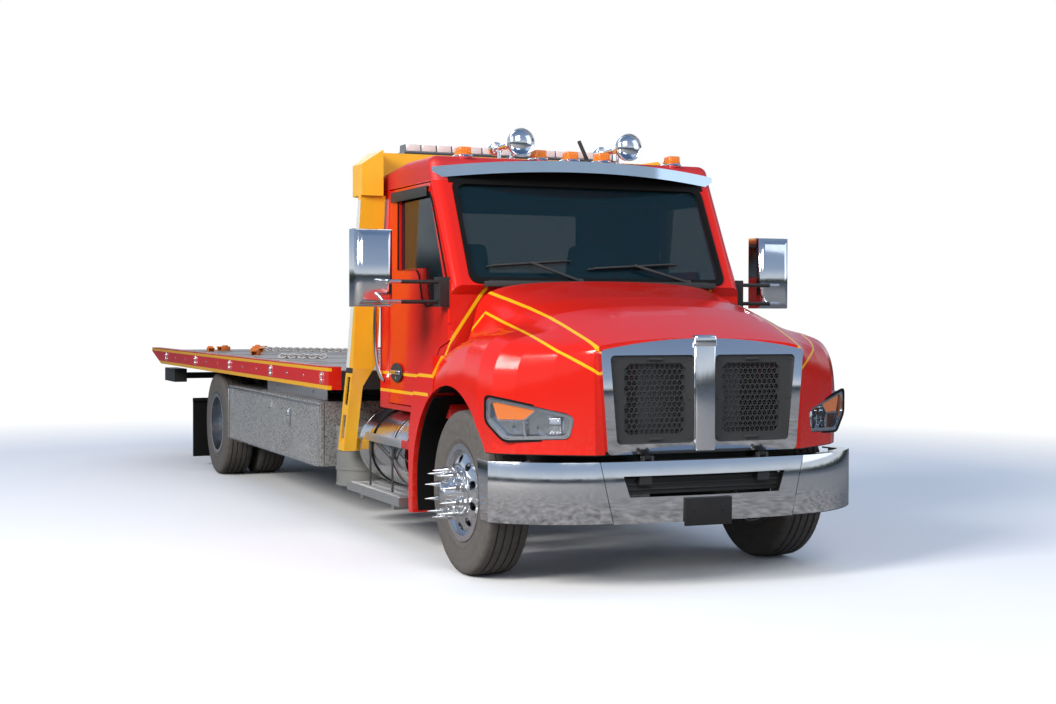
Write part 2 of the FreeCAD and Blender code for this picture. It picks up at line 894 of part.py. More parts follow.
def knuckle():
    """The left steering knuckle: two lugs round the axle's boss, the king pin and the spindle."""
    side = s.king_pin_side
    reach = s.king_boss_half + s.run_gap / 2 + s.king_lug
    pin_low = s.axle_height - reach
    pin = rod("king_pin", s.king_pin_radius, (side, front_axle, pin_low), reach * 2, "Z")
    web_in = side + s.king_boss_radius + s.run_gap / 2
    web_out = web_in + s.king_pin_radius * 2
    pieces = [pin]
    for name, low in (("low", pin_low), ("high", s.axle_height + reach - s.king_lug)):
        lug = rod(f"{name}_lug", s.king_boss_radius, (side, front_axle, low), s.king_lug, "Z")
        y = (front_axle - s.king_boss_radius, front_axle + s.king_boss_radius)
        arm = block(f"{name}_lug_arm", (side, web_out), y, (low, low + s.king_lug))
        pieces += [lug, arm]
    y = (front_axle - s.king_boss_radius, front_axle + s.king_boss_radius)
    pieces.append(block("knuckle_web", (web_in, web_out), y, (pin_low, pin_low + reach * 2)))
    tip = s.front_tyre_side + s.front_disc_out - s.disc_wall / 2
    pieces.append(rod("spindle", s.spindle_radius, (web_in, front_axle, s.axle_height), tip - web_in, "X"))
    start = (web_out, front_axle, s.axle_height)
    pieces.append(rod("brake_plate", s.hub_radius * 1.6, start, s.disc_wall / 2, "X"))
    return joined("knuckle_left", pieces)


def hexagon(u, v, radius):
    """A nut's outline about a centre."""
    corners = []
    for turn in range(6):
        angle = math.radians(60 * turn)
        corners.append((u + radius * math.cos(angle), v + radius * math.sin(angle)))
    return corners


def studded(body, face, hole_circle, hole_radius):
    """Cuts the hand holes through the disc and sets the spiked nut covers on its face."""
    role = "YZ_Plane"
    holes = sketch_in(body, f"{body.Name}_hole", role, face - s.disc_wall * 2, (), [(0, hole_circle, hole_radius)])
    hole = pocket(body, holes, f"{body.Name}_hole_cut", s.disc_wall * 3, role)
    hole_ring = body.newObject("PartDesign::PolarPattern", f"{body.Name}_holes")
    hole_ring.Originals = [hole]
    hole_ring.Axis = (holes, ["N_Axis"])
    hole_ring.Occurrences = NUT_COUNT
    body.Tip = hole_ring
    at = s.nut_circle
    base = sketch_in(body, f"{body.Name}_nut", role, face, [hexagon(0, at, s.nut_radius)])
    nut = pad(body, base, f"{body.Name}_nut_pad", s.nut_length, role)
    top = face + s.nut_length
    low_end = sketch_in(body, f"{body.Name}_spike_foot", role, top, [hexagon(0, at, s.nut_radius)])
    tip_radius = s.nut_radius / 6
    high_end = sketch_in(body, f"{body.Name}_spike_tip", role, top + s.nut_spike, [hexagon(0, at, tip_radius)])
    spike = body.newObject("PartDesign::AdditiveLoft", f"{body.Name}_spike")
    spike.Profile = low_end
    spike.Sections = [high_end]
    spike.Ruled = True
    nuts = body.newObject("PartDesign::PolarPattern", f"{body.Name}_nuts")
    nuts.Originals = [nut, spike]
    nuts.Axis = (base, ["N_Axis"])
    nuts.Occurrences = NUT_COUNT
    body.Tip = nuts
    return body


def front_wheel():
    """The left steered wheel: rim, outward disc, hub and pointed cap."""
    face = s.front_disc_out
    inner = face - s.disc_wall
    half = s.rim_half_width
    barrel = s.rim_barrel_radius
    bore_end = inner + s.disc_wall / 2 + s.seat_gap
    outline = [
        (half, s.rim_lip_radius),
        (half, barrel - s.rim_wall),
        (face, barrel - s.rim_wall),
        (face, s.cap_radius),
        (face + s.front_cap_length, s.cap_radius),
        (face + s.front_cap_length + s.cap_radius / 4, s.cap_radius / 2),
        (face + s.front_cap_length + s.cap_radius / 4, 0),
        (bore_end, 0),
        (bore_end, spindle_bore),
        (-s.hub_inner_reach, spindle_bore),
        (-s.hub_inner_reach, s.hub_radius),
        (inner, s.hub_radius),
        (inner, barrel - s.rim_wall),
        (-half, barrel - s.rim_wall),
        (-half, barrel),
        (half - s.rim_lip_wall, barrel),
        (half - s.rim_lip_wall, s.rim_lip_radius),
    ]
    body = turned("wheel_front_left", outline, s.front_tyre_side, front_axle, s.axle_height)
    return studded(body, face, s.hand_hole_circle, s.hand_hole_radius)


def rear_wheel():
    """The left pair of rear rims, bolted disc to disc about one hub."""
    half = s.rim_half_width
    barrel = s.rim_barrel_radius
    inside = barrel - s.rim_wall
    middle = -s.dual_spacing / 2
    face = middle + s.disc_wall
    far = -s.dual_spacing - half
    bore_end = -half + s.seat_gap
    hub_end = middle - s.disc_wall - s.hub_inner_reach
    outline = [
        (half, s.rim_lip_radius),
        (half, inside),
        (face + s.disc_wall, inside),
        (face, inside - s.disc_wall),
        (face, s.cap_radius),
        (face + s.rear_cap_length, s.cap_radius),
        (face + s.rear_cap_length, 0),
        (bore_end, 0),
        (bore_end, spindle_bore),
        (hub_end, spindle_bore),
        (hub_end, s.hub_radius),
        (middle - s.disc_wall, s.hub_radius),
        (middle - s.disc_wall, inside - s.disc_wall),
        (middle - s.disc_wall * 2, inside),
        (far, inside),
        (far, barrel),
        (middle - s.disc_wall * 2, barrel),
        (middle, inside),
        (-half, barrel),
        (half - s.rim_lip_wall, barrel),
        (half - s.rim_lip_wall, s.rim_lip_radius),
    ]
    body = turned("wheels_rear_left", outline, s.dual_outer_side, rear_axle, s.axle_height)
    hole_circle = (s.nut_circle + s.nut_radius + inside - s.disc_wall) / 2
    return studded(body, face, hole_circle, s.hand_hole_radius * BLUNT_SHARE)


def tyre(name, side, y):
    """A tyre: bead seat, sidewalls, shoulders and tread."""
    seat = s.rim_half_width - s.rim_lip_wall - s.seat_gap
    outline = [
        (-seat, s.rim_barrel_radius + s.seat_gap),
        (seat, s.rim_barrel_radius + s.seat_gap),
        (seat, s.rim_lip_radius),
        (s.tyre_width / 2, s.sidewall_radius),
        (s.tread_half, s.tyre_radius),
        (-s.tread_half, s.tyre_radius),
        (-s.tyre_width / 2, s.sidewall_radius),
        (-seat, s.rim_lip_radius),
    ]
    return turned(name, outline, side, y, s.axle_height)


def bumper_band(name, wall, low, high):
    """A plan-view strip of the bumper, its left half, between two heights."""
    centre = (as_size(0), ahead(s.front_overhang - s.plate_wall))
    seam = (s.seam_top_side, ahead(s.seam_back))
    wing = (s.wing_side, ahead(s.wing_back))
    end = (s.wing_end_side, ahead(s.wing_end_back))
    inner_end = (end[0] - wall, end[1])
    inner_wing = (wing[0] - wall, wing[1] + wall / 3)
    inner_seam = (seam[0] - wall / 3, seam[1] + wall)
    inner_centre = (as_size(0), centre[1] + wall)
    outline = [
        (*centre, s.centre_bow_radius, 1),
        (*seam, s.wing_bow_radius, 1),
        (*wing,),
        (*end,),
        (*inner_end,),
        (*inner_wing, s.wing_bow_radius - wall, -1),
        (*inner_seam, s.centre_bow_radius - wall, -1),
        (*inner_centre,),
    ]
    return prism(name, "XY_Plane", outline, low, high)


def bumper():
    """A three-piece bumper of bent sheet with a return flange along its top and bottom."""
    low, high, wall = s.bumper_bottom, s.bumper_top, s.bumper_wall
    skin = bumper_band("bumper_skin", wall, low, high)
    top = bumper_band("bumper_top_flange", s.bumper_flange, high - wall, high)
    bottom = bumper_band("bumper_bottom_flange", s.bumper_flange, low, low + wall)
    half = joined("bumper_half", [skin, top, bottom])
    front = ahead(s.front_overhang + s.overrun)
    rear = ahead(0)
    lean = (s.seam_top_side - s.seam_bottom_side) / (high - low)
    reach = s.overrun
    top_side = s.seam_top_side + lean * reach
    low_side = s.seam_bottom_side - lean * reach
    middle_zone = prism("bumper_middle_zone", "XZ_Plane", [
        (-low_side, low - reach),
        (low_side, low - reach),
        (top_side, high + reach),
        (-top_side, high + reach),
    ], front, rear)
    wing_zone = prism("bumper_wing_zone", "XZ_Plane", [
        (low_side + s.seam_gap, low - reach),
        (s.wing_side + reach, low - reach),
        (s.wing_side + reach, high + reach),
        (top_side + s.seam_gap, high + reach),
    ], front, rear)
    slot = prism("bumper_slot", "XZ_Plane", [
        (-s.slot_half_width + s.overrun, s.slot_bottom),
        (s.slot_half_width - s.overrun, s.slot_bottom),
        (s.slot_half_width, s.slot_top),
        (-s.slot_half_width, s.slot_top),
    ], front, rear)
    whole = joined("bumper_whole", [half, mirrored("bumper_half_right", half)])
    middle = cut("bumper_middle", common("bumper_middle_part", whole, middle_zone), [slot])
    plate_y = (ahead(s.front_overhang), ahead(s.front_overhang - s.plate_wall - wall / 2))
    plate_x = (-s.plate_half_width, s.plate_half_width)
    plate = block("plate_bracket", plate_x, plate_y, (s.plate_bottom, s.plate_top))
    hole_start = (s.plate_hole_half, front, (s.plate_top + s.plate_bottom) / 2)
    hole = rod("plate_hole", s.plate_hole_radius, hole_start, s.overrun + s.plate_wall * 3, "Y")
    holes = [hole, mirrored("plate_hole_right", hole)]
    bracket_front = ahead(s.front_overhang - s.overrun)
    stay = block(
        "bumper_stay",
        (rail_flange_side, s.rail_outer),
        (bracket_front, ahead(s.rail_front_reach)),
        (rail_low, high - wall),
    )
    lug_inner = s.hinge_side - s.hinge_arm
    lug_y = (ahead(s.hinge_front + s.hinge_eye_radius), ahead(s.hinge_front - s.hinge_eye_radius))
    lug_high = s.hinge_height + s.hinge_eye_radius
    lug_wall = s.hinge_arm / 2 - s.run_gap / 2
    lug_in = block("hinge_lug_inner", (lug_inner, lug_inner + lug_wall), lug_y, (high, lug_high))
    lug_outer = s.hinge_side + s.hinge_arm
    lug_out = block("hinge_lug_outer", (lug_outer - lug_wall, lug_outer), lug_y, (high, lug_high))
    pin_start = (lug_inner, ahead(s.hinge_front), s.hinge_height)
    pin = rod("hinge_pin", s.hinge_pin_radius, pin_start, s.hinge_arm * 2, "X")
    left = [stay, lug_in, lug_out, pin]
    pieces = [middle, plate, *left, *[mirrored(f"{piece.Name}_right", piece) for piece in left]]
    slope_zone = prism("wing_end_zone", "YZ_Plane", [
        (ahead(s.wing_low_back), low - reach),
        (rear, low - reach),
        (ahead(s.wing_end_back), high),
    ], s.king_pin_side, s.wing_side + reach)
    sweep_start = (s.king_pin_side, front_axle, low - reach)
    sweep = rod("tyre_sweep", s.tyre_sweep, sweep_start, high - low + reach * 2, "Z")
    wing = cut("bumper_wing_trimmed", common("bumper_wing_part", half, wing_zone), [slope_zone, sweep])
    stay_y = (ahead(s.wing_stay_front), ahead(s.wing_stay_front - s.wing_stay_depth))
    stay_x = (s.rail_outer + s.seat_gap, s.wing_stay_reach)
    wing_stay = block("wing_stay", stay_x, stay_y, (s.wing_stay_low, s.wing_stay_high))
    wing = joined("bumper_wing", [wing, wing_stay])
    centre_piece = cut("bumper_centre", joined("bumper_centre_solid", pieces), holes)
    return centre_piece, pair("bumper_wings", wing)


def hood_form(name, shrink):
    """The hood's closed form, lofted through its stations; shrink moves its skin inward."""
    length = s.hood_nose.value + s.hood_back.value
    half = s.hood_half_width.value
    high = s.hood_rear_top.value
    nose = ahead(s.hood_nose).value
    wires = []
    rows = zip(HOOD_STATION_SHARES, HOOD_WIDTH_SHARES, HOOD_HEIGHT_SHARES)
    for number, (station, widths, heights) in enumerate(rows):
        y = nose + length * station
        hem = min(heights[0] * high, s.hood_hem.value) if number else heights[0] * high
        poles = []
        for width, height in zip(widths, heights):
            side = max(width * half - shrink * min(1, width * half / s.grille_top_side.value), 0)
            poles.append(FreeCAD.Vector(side, y, max(height * high, s.hood_hem.value) - shrink))
        poles[0].z = s.hood_hem.value - shrink * 2
        other = [FreeCAD.Vector(-pole.x, pole.y, pole.z) for pole in reversed(poles[:-1])]
        curve = Part.BSplineCurve()
        curve.buildFromPoles(poles + other, False, 3)
        edge = curve.toShape()
        base = Part.LineSegment(other[-1], poles[0]).toShape()
        wires.append(Part.Wire([edge, base]))
    item = doc.addObject("Part::Feature", name)
    item.Shape = Part.makeLoft(wires, True, True)
    return item


def wheel_arch(name, radius, middle, inner, outer):
    """A round opening over the left front wheel."""
    return rod(name, radius, (inner, middle, s.axle_height), outer - inner, "X")


def hood():
    """The tilting hood: a lofted shell open below and behind, with arches, lamp and grille openings."""
    outside = hood_form("hood_outside", 0)
    inside = hood_form("hood_inside", s.hood_wall.value)
    inside.Placement = FreeCAD.Placement(FreeCAD.Vector(0, s.hood_wall.value, 0), FreeCAD.Rotation())
    reach = s.overrun
    arch = wheel_arch("hood_arch", s.arch_radius, back(s.arch_back), s.arch_inner_side, s.hood_half_width + reach)
    half = s.grille_bottom_side - s.grille_border / 2
    y = (ahead(s.hood_nose + reach), ahead(s.hood_nose - reach))
    mouth = block("hood_mouth", (-half, half), y, (s.hood_hem + s.grille_border, s.grille_side_top - s.grille_border))
    tools = [inside, arch, mirrored("hood_arch_right", arch), mouth]
    shell = cut("hood_shell", outside, tools)
    pocket_left = lamp_form("hood_lamp_pocket", s.seat_gap, s.lamp_depth, reach)
    shell = cut("hood_open", shell, [pocket_left, mirrored("hood_lamp_pocket_right", pocket_left)])
    pin_y = ahead(s.hinge_front)
    half_arm = s.hinge_arm / 2
    x = (s.hinge_side - half_arm, s.hinge_side + half_arm)
    z = (s.hinge_height - s.hinge_pin_radius, s.hood_hem + s.run_gap)
    arm = block("hood_arm", x, (pin_y, ahead(s.hood_nose - s.hood_wall)), z)
    start = (x[0], pin_y, s.hinge_height)
    eye = rod("hood_eye", s.hinge_eye_radius, start, s.hinge_arm, "X")
    bore_start = (x[0] - half_arm, pin_y, s.hinge_height)
    bore = rod("hood_bore", s.hinge_pin_radius + s.pin_gap, bore_start, s.hinge_arm * 2, "X")
    liner_room = hood_form("hood_liner_room", s.hood_wall.value + s.seat_gap.value)
    liner_room.Placement = inside.Placement
    liner = common("hood_liner", arch_liner("hood_liner_form", *HOOD_LINER_ANGLES), liner_room)
    left = cut("hood_arm_bored", joined("hood_arm_solid", [arm, eye]), [bore])
    whole = joined("hood", [shell, left, mirrored("hood_arm_right", left)])
    return whole, pair("hood_liners", liner)


def lamp_form(name, grow, depth, proud):
    """The left headlamp's wedge, square to its slanted face."""
    run = s.lamp_outer_side - s.lamp_inner_side
    rise = s.lamp_inner_front - s.lamp_outer_front
    length = root(run * run + rise * rise)
    outline = [
        (length * 0.06 - grow, s.lamp_low + s.lamp_wall - grow),
        (length * 0.80 + grow, s.lamp_low - grow),
        (length + grow, s.lamp_low + s.lamp_depth - grow),
        (length + grow, s.lamp_outer_top + grow),
        (length * 0.10, s.lamp_inner_top + grow),
        (0 - grow, s.lamp_inner_top - s.lamp_wall * 2),
    ]
    body = prism(name, "XZ_Plane", outline, -proud, depth)
    rounded(body, f"{name}_round", s.lamp_round + grow, lambda edge: along(edge, 1))
    angle = slope_angle(rise, run)
    body.Placement = FreeCAD.Placement(FreeCAD.Vector(), FreeCAD.Rotation(FreeCAD.Vector(0, 0, 1), 1))
    bind(body, "Placement.Rotation.Angle", angle)
    return move(body, s.lamp_inner_side, ahead(s.lamp_inner_front), 0)


def lamp_cups():
    """Two round reflectors that stand on the back wall of the left lamp bowl."""
    run = s.lamp_outer_side - s.lamp_inner_side
    rise = s.lamp_inner_front - s.lamp_outer_front
    length = root(run * run + rise * rise)
    floor = s.lamp_depth - s.lamp_wall
    cups = []
    for number, (share, size_share) in enumerate(LAMP_CUP_SHARES):
        radius = s.lamp_cup_radius * size_share
        place = (length * share, floor / 2, s.lamp_cup_height)
        body = rod(f"lamp_cup_{number}", radius, place, floor / 2 + s.seat_gap, "Y")
        room_place = (length * share, floor / 2 - s.lamp_cup_wall, s.lamp_cup_height)
        room = rod(f"lamp_cup_room_{number}", radius - s.lamp_cup_wall, room_place, floor / 2, "Y")
        cups.append(cut(f"lamp_cup_open_{number}", body, [room]))
    cups = grouped("lamp_cups", cups)
    cups.Placement = FreeCAD.Placement(FreeCAD.Vector(), FreeCAD.Rotation(FreeCAD.Vector(0, 0, 1), 1))
    bind(cups, "Placement.Rotation.Angle", slope_angle(rise, run))
    return move(cups, s.lamp_inner_side, ahead(s.lamp_inner_front), 0)


def headlamps():
    """Open lamp bowls with two reflectors each, and the clear lens that closes them."""
    solid = lamp_form("lamp_solid", 0, s.lamp_depth, as_size(0))
    hollow = lamp_form("lamp_hollow", -s.lamp_wall, s.lamp_depth - s.lamp_wall, s.overrun)
    bowl = joined("lamp_bowl", [cut("lamp_shell", solid, [hollow]), lamp_cups()])
    lens = lamp_form("lamp_lens", -s.lamp_wall - s.seat_gap, s.lamp_wall / 2, as_size(0))
    return pair("headlamp_bowls", bowl), pair("headlamp_lenses", lens)


def honeycomb(name, x, y, z):
    """Six-sided cutters in staggered rows, which fill a rectangle and pass through a sheet."""
    pitch = (x[1] - x[0]) / HEX_COLUMN_COUNT
    rise = (z[1] - z[0]) / HEX_ROW_COUNT
    turn = TURNS["Y"].multiply(FreeCAD.Rotation(FreeCAD.Vector(0, 0, 1), 30))
    cutters = []
    for row in range(HEX_ROW_COUNT):
        shift = pitch / 2 if row % 2 else as_size(0)
        for column in range(HEX_COLUMN_COUNT - row % 2):
            cutter = doc.addObject("Part::Prism", f"{name}_{row}_{column}")
            cutter.Polygon = 6
            bind(cutter, "Circumradius", pitch / 2)
            bind(cutter, "Height", y[1] - y[0])
            cutter.Placement = FreeCAD.Placement(FreeCAD.Vector(), turn)
            place = (x[0] + pitch * (column + 0.5) + shift, y[0], z[0] + rise * (row + 0.5))
            cutters.append(move(cutter, *place))
    return grouped(name, cutters)


def grille_panel(inner, outer_low, outer_high, low, high, y):
    """The left mesh panel: a frame with clipped corners, tabs and two handles, round a honeycomb sheet."""
    corners = [(inner, low), (outer_low, low), (outer_high, high), (inner, high)]
    panel = prism("mesh_panel", "XZ_Plane", corners, *y)
    rounded(panel, "mesh_panel_round", s.grille_round, is_grille_corner)
    border, corner = s.mesh_border, s.mesh_corner
    tab, half = s.mesh_tab, s.mesh_tab_half
    left, right = inner + border, outer_low - border
    bottom, top = low + border, high - border
    middle = (bottom + top) / 2
    window = prism("mesh_window", "XZ_Plane", [
        (left + corner, bottom),
        (right - corner, bottom),
        (right, bottom + corner),
        (right, middle - half),
        (right - tab, middle - half / 2),
        (right - tab, middle + half / 2),
        (right, middle + half),
        (right, top - corner),
        (right - corner, top),
        (left + corner, top),
        (left, top - corner),
        (left, middle + half),
        (left + tab, middle + half / 2),
        (left + tab, middle - half / 2),
        (left, middle - half),
        (left, bottom + corner),
    ], y[0] - s.overrun, y[1] - s.mesh_sheet)
    edge = s.mesh_sheet
    cutter_y = (y[1] - s.mesh_sheet * 2, y[1] + s.overrun)
    holes = honeycomb("mesh_holes", (left + edge, right - edge), cutter_y, (bottom + edge, top - edge))
    open_frame = cut("mesh_frame", panel, [window])
    clear = common("mesh_holes_in_window", holes, prism("mesh_hole_zone", "XZ_Plane", [
        (left + corner, bottom + edge),
        (right - corner, bottom + edge),
        (right - edge, bottom + corner),
        (right - edge, top - corner),
        (right - corner, top - edge),
        (left + corner, top - edge),
        (left + edge, top - corner),
        (left + edge, bottom + corner),
    ], *cutter_y))
    pierced = cut("mesh_pierced", open_frame, [clear])
    handles = []
    for number, height in enumerate((low + border / 2, high - border / 2)):
        start = ((left + right) / 2 - s.mesh_handle_length / 2, y[0], height)
        handles.append(rod(f"mesh_handle_{number}", s.mesh_handle_radius, start, s.mesh_handle_length, "X"))
    return joined("grille_mesh_left", [pierced, *handles])


def is_grille_corner(edge):
    """Whether an edge runs fore and aft, off the truck's middle."""
    return along(edge, 1) and abs(edge.BoundBox.XMin) > s.grille_bar_half.value / 2


def grille():
    """The bright surround with its centre bar, and the dark mesh panels behind its windows."""
    low, front = s.grille_bottom, ahead(s.hood_nose + s.seat_gap + s.grille_depth)
    top_run = s.grille_top_side
    top_rise = s.grille_mid_top - s.grille_side_top
    bow = (top_run * top_run + top_rise * top_rise) / (top_rise * 2)
    half = [
        (as_size(0), low),
        (s.grille_bottom_side, low),
        (s.grille_top_side, s.grille_side_top, bow, 1),
        (as_size(0), s.grille_mid_top),
    ]
    right = [(-s.grille_top_side, s.grille_side_top), (-s.grille_bottom_side, low)]
    outline = [half[1], half[2], (*half[3], bow, 1), *right]
    border, bar = s.grille_border, s.grille_bar_half
    window_top = s.grille_side_top - border / 2
    window = [
        (bar, low + border),
        (s.grille_bottom_side - border, low + border),
        (s.grille_top_side - border, window_top),
        (bar, window_top),
    ]
    other = [(-corner[0], corner[1]) for corner in reversed(window)]
    y = (front, front + s.grille_depth)
    surround = prism("grille_surround", "XZ_Plane", outline, *y, holes=[window, other])
    rounded(surround, "grille_corner_round", s.grille_round, is_grille_corner)
    gap = s.seat_gap
    deep = front + s.mesh_inset
    outer_low = s.grille_bottom_side - border - gap
    outer_high = s.grille_top_side - border - gap
    y = (deep, deep + s.mesh_wall)
    mesh = grille_panel(bar + gap, outer_low, outer_high, low + border + gap, window_top - gap, y)
    return surround, pair("grille_mesh", mesh)


def arch_liner(name, start, finish):
    """A thin liner over the left front wheel, between two angles above the rearward line, in degrees."""
    corners = []
    for radius, angles in ((s.liner_radius, (start, finish)), (s.liner_radius - s.liner_wall, (finish, start))):
        for angle in angles:
            turn = math.radians(angle)
            u = back(s.liner_back) + radius * math.cos(turn)
            v = s.axle_height + radius * math.sin(turn)
            corners.append((u, v))
    outline = [
        (*corners[0], s.liner_radius, -1),
        corners[1],
        (*corners[2], s.liner_radius - s.liner_wall, 1),
        corners[3],
    ]
    return prism(name, "YZ_Plane", outline, s.liner_side, s.hood_half_width - s.hood_wall - s.liner_wall / 4)


def cab_profile(inset):
    """The cab's side outline, moved in by an inset."""
    return [
        (back(s.cab_front) + inset, s.cab_bottom + inset),
        (back(s.cab_back) - inset, s.cab_bottom + inset),
        (back(s.cab_back) - inset, s.roof_rear - inset),
        (back(s.roof_peak_back), s.roof_peak - inset),
        (back(s.brow_back) + inset / 2, s.roof_peak - inset),
        (back(s.header_back) + inset / 2, s.header - inset / 2),
        (back(s.glass_foot_back) + inset, s.glass_foot),
        (back(s.cab_front) + inset, s.glass_foot - s.cab_wall),
    ]


def door_profile(shrink):
    """The door's side outline, moved in by a gap."""
    return [
        (back(s.door_toe_back) + shrink, s.door_bottom + shrink),
        (back(s.door_back) - shrink, s.door_bottom + shrink),
        (back(s.door_back) - shrink, s.door_head - shrink),
        (back(s.door_head_front) + shrink, s.door_head - shrink),
        (back(s.door_front) + shrink, s.door_belt_front),
        (back(s.door_front) + shrink, s.door_shoulder + shrink),
        (back(s.door_knee_back) + shrink, s.door_knee + shrink),
    ]


def pane_profile(shrink):
    """The door window's outline, with the dip toward the mirror."""
    return [
        (back(s.pane_front_low) + shrink, s.pane_dip + shrink),
        (back(s.pane_dip_back) - shrink, s.pane_dip + shrink),
        (back(s.pane_dip_back) + s.overrun * 2 - shrink, s.pane_low + shrink),
        (back(s.pane_back) - shrink, s.pane_low + shrink),
        (back(s.pane_back) - shrink, s.pane_top - shrink),
        (back(s.pane_front_top) + shrink, s.pane_top - shrink),
    ]


def door_hinge(role, radius, grow):
    """The fixed lugs of the door's two hinges with their pins, or the room that they need."""
    at = (s.cab_half_width, back(s.door_front) + s.door_gap)
    inner = s.door_hinge_half + s.run_gap / 6
    outer = inner + s.door_hinge_lug
    pieces = []
    for level, middle in (("low", s.door_hinge_low), ("high", s.door_hinge_high)):
        for end, low in (("under", middle - outer), ("over", middle + inner)):
            start = (*at, low - grow)
            pieces.append(rod(f"hinge_{role}_{level}_{end}", radius, start, s.door_hinge_lug + grow * 2, "Z"))
        if not grow:
            start = (*at, middle - outer)
            pieces.append(rod(f"hinge_{role}_{level}_pin", s.door_pin_radius, start, outer * 2, "Z"))
    return pieces


def seat_pedestal():
    """The left seat's base on the floor."""
    inset = s.pedestal_inset
    rear = back(s.seat_front + s.seat_depth + s.seat_back_wall)
    return block(
        "seat_pedestal",
        (s.seat_side - s.seat_half_width + inset, s.seat_side + s.seat_half_width - inset),
        (back(s.seat_front) + inset, rear - inset / 2),
        (s.cab_bottom + s.cab_wall, s.cushion_low),
    )


def cab():
    """The cab shell: one pressed form, parted into floor, front, sides, back and roof where they meet."""
    half, wall, reach = s.cab_half_width, s.cab_wall, s.overrun
    form = prism("cab_form", "YZ_Plane", cab_profile(as_size(0)), -half, half)
    seam_high = s.roof_seam.value

    def crown(edge):
        box = edge.BoundBox
        return box.ZMin > seam_high and (along(edge, 0) or box.XLength < TINY_SHARE * half.value)

    rounded(form, "cab_crown", s.roof_round, crown)
    room = prism("cab_room", "YZ_Plane", cab_profile(wall), wall - half, half - wall)
    shell = cut("cab_hollow", form, [room])
    slope_run = s.header_back - s.glass_foot_back
    slope_rise = s.header - s.glass_foot
    slant = slope_run / slope_rise
    low_back = back(s.glass_foot_back) + slant * (s.glass_low - s.glass_foot)
    high_back = back(s.glass_foot_back) + slant * (s.glass_high - s.glass_foot)
    glass_half = s.glass_half_width
    opening = prism("windshield_opening", "YZ_Plane", [
        (low_back - wall, s.glass_low),
        (low_back + wall * 2, s.glass_low),
        (high_back + wall * 2, s.glass_high),
        (high_back - wall, s.glass_high),
    ], -glass_half, glass_half)
    inset = s.seat_gap
    pane_inset = s.glass_wall
    glass = prism("windshield", "YZ_Plane", [
        (low_back + pane_inset, s.glass_low + inset),
        (low_back + pane_inset + s.glass_wall, s.glass_low + inset),
        (high_back + pane_inset + s.glass_wall, s.glass_high - inset),
        (high_back + pane_inset, s.glass_high - inset),
    ], inset - glass_half, glass_half - inset)
    rear_half = s.rear_glass_half
    back_y = (back(s.cab_back) - wall - reach, back(s.cab_back) + reach)
    rear_opening = block("rear_opening", (-rear_half, rear_half), back_y, (s.rear_glass_low, s.rear_glass_high))
    middle_back = back(s.cab_back) - wall / 2
    rear_glass = block(
        "rear_glass",
        (inset - rear_half, rear_half - inset),
        (middle_back, middle_back + s.glass_wall),
        (s.rear_glass_low + inset, s.rear_glass_high - inset),
    )
    door_zone = prism("door_zone", "YZ_Plane", door_profile(as_size(0)), half - wall * 2, half + reach)
    pierced = cut("cab_pierced", shell, [opening, rear_opening, door_zone, mirrored("door_zone_right", door_zone)])
    wide = (-half - reach, half + reach)
    floor_top = s.cab_bottom + wall
    back_face = back(s.cab_back) - wall
    y_all = (back(0), back(s.cab_back) + reach)
    y_front = (back(0), back_face)
    z_wall = (floor_top, s.roof_seam)
    floor = common("cab_floor_part", pierced, block("floor_zone", wide, y_all, (s.cab_bottom - reach, floor_top)))
    mounts = []
    for number, place in enumerate((s.cab_front + s.cab_wall * 2, s.cab_back - s.cab_wall * 2), start=1):
        y = (back(place) - s.cross_width / 2, back(place) + s.cross_width / 2)
        mount = block(f"cab_mount_{number}", (rail_flange_side, s.rail_outer), y, (s.rail_top, s.cab_bottom))
        mounts += [mount, mirrored(f"cab_mount_{number}_right", mount)]
    pedestal = seat_pedestal()
    floor = joined("cab_floor", [floor, *mounts, pedestal, mirrored("seat_pedestal_right", pedestal)])
    roof = common("cab_roof", pierced, block("roof_zone", wide, y_all, (s.roof_seam, s.roof_peak + reach)))
    back_wall = common("cab_back_part", pierced, block("back_zone", wide, (back_face, y_all[1]), z_wall))
    inner = half - wall
    front = common("cab_front_part", pierced, block("front_zone", (-inner, inner), y_front, z_wall))
    side = common("cab_side_part", pierced, block("side_zone", (inner, half + reach), y_front, z_wall))
    at = (half, back(s.door_front) + s.door_gap)
    rooms = []
    for level, middle in (("low", s.door_hinge_low), ("high", s.door_hinge_high)):
        low = middle - s.door_hinge_half - s.run_gap / 6
        radius = s.door_hinge_radius + s.run_gap / 2
        rooms.append(rod(f"knuckle_room_{level}", radius, (*at, low), (middle - low) * 2, "Z"))
    side = cut("cab_side_roomed", side, rooms)
    side = joined("cab_side_hinged", [side, *door_hinge("lug", s.door_hinge_radius, 0)])
    sides = pair("cab_sides", side)
    ends = grouped("cab_end_walls", [front, back_wall])
    return [floor, roof, ends, sides, grouped("cab_glass", [glass, rear_glass])]


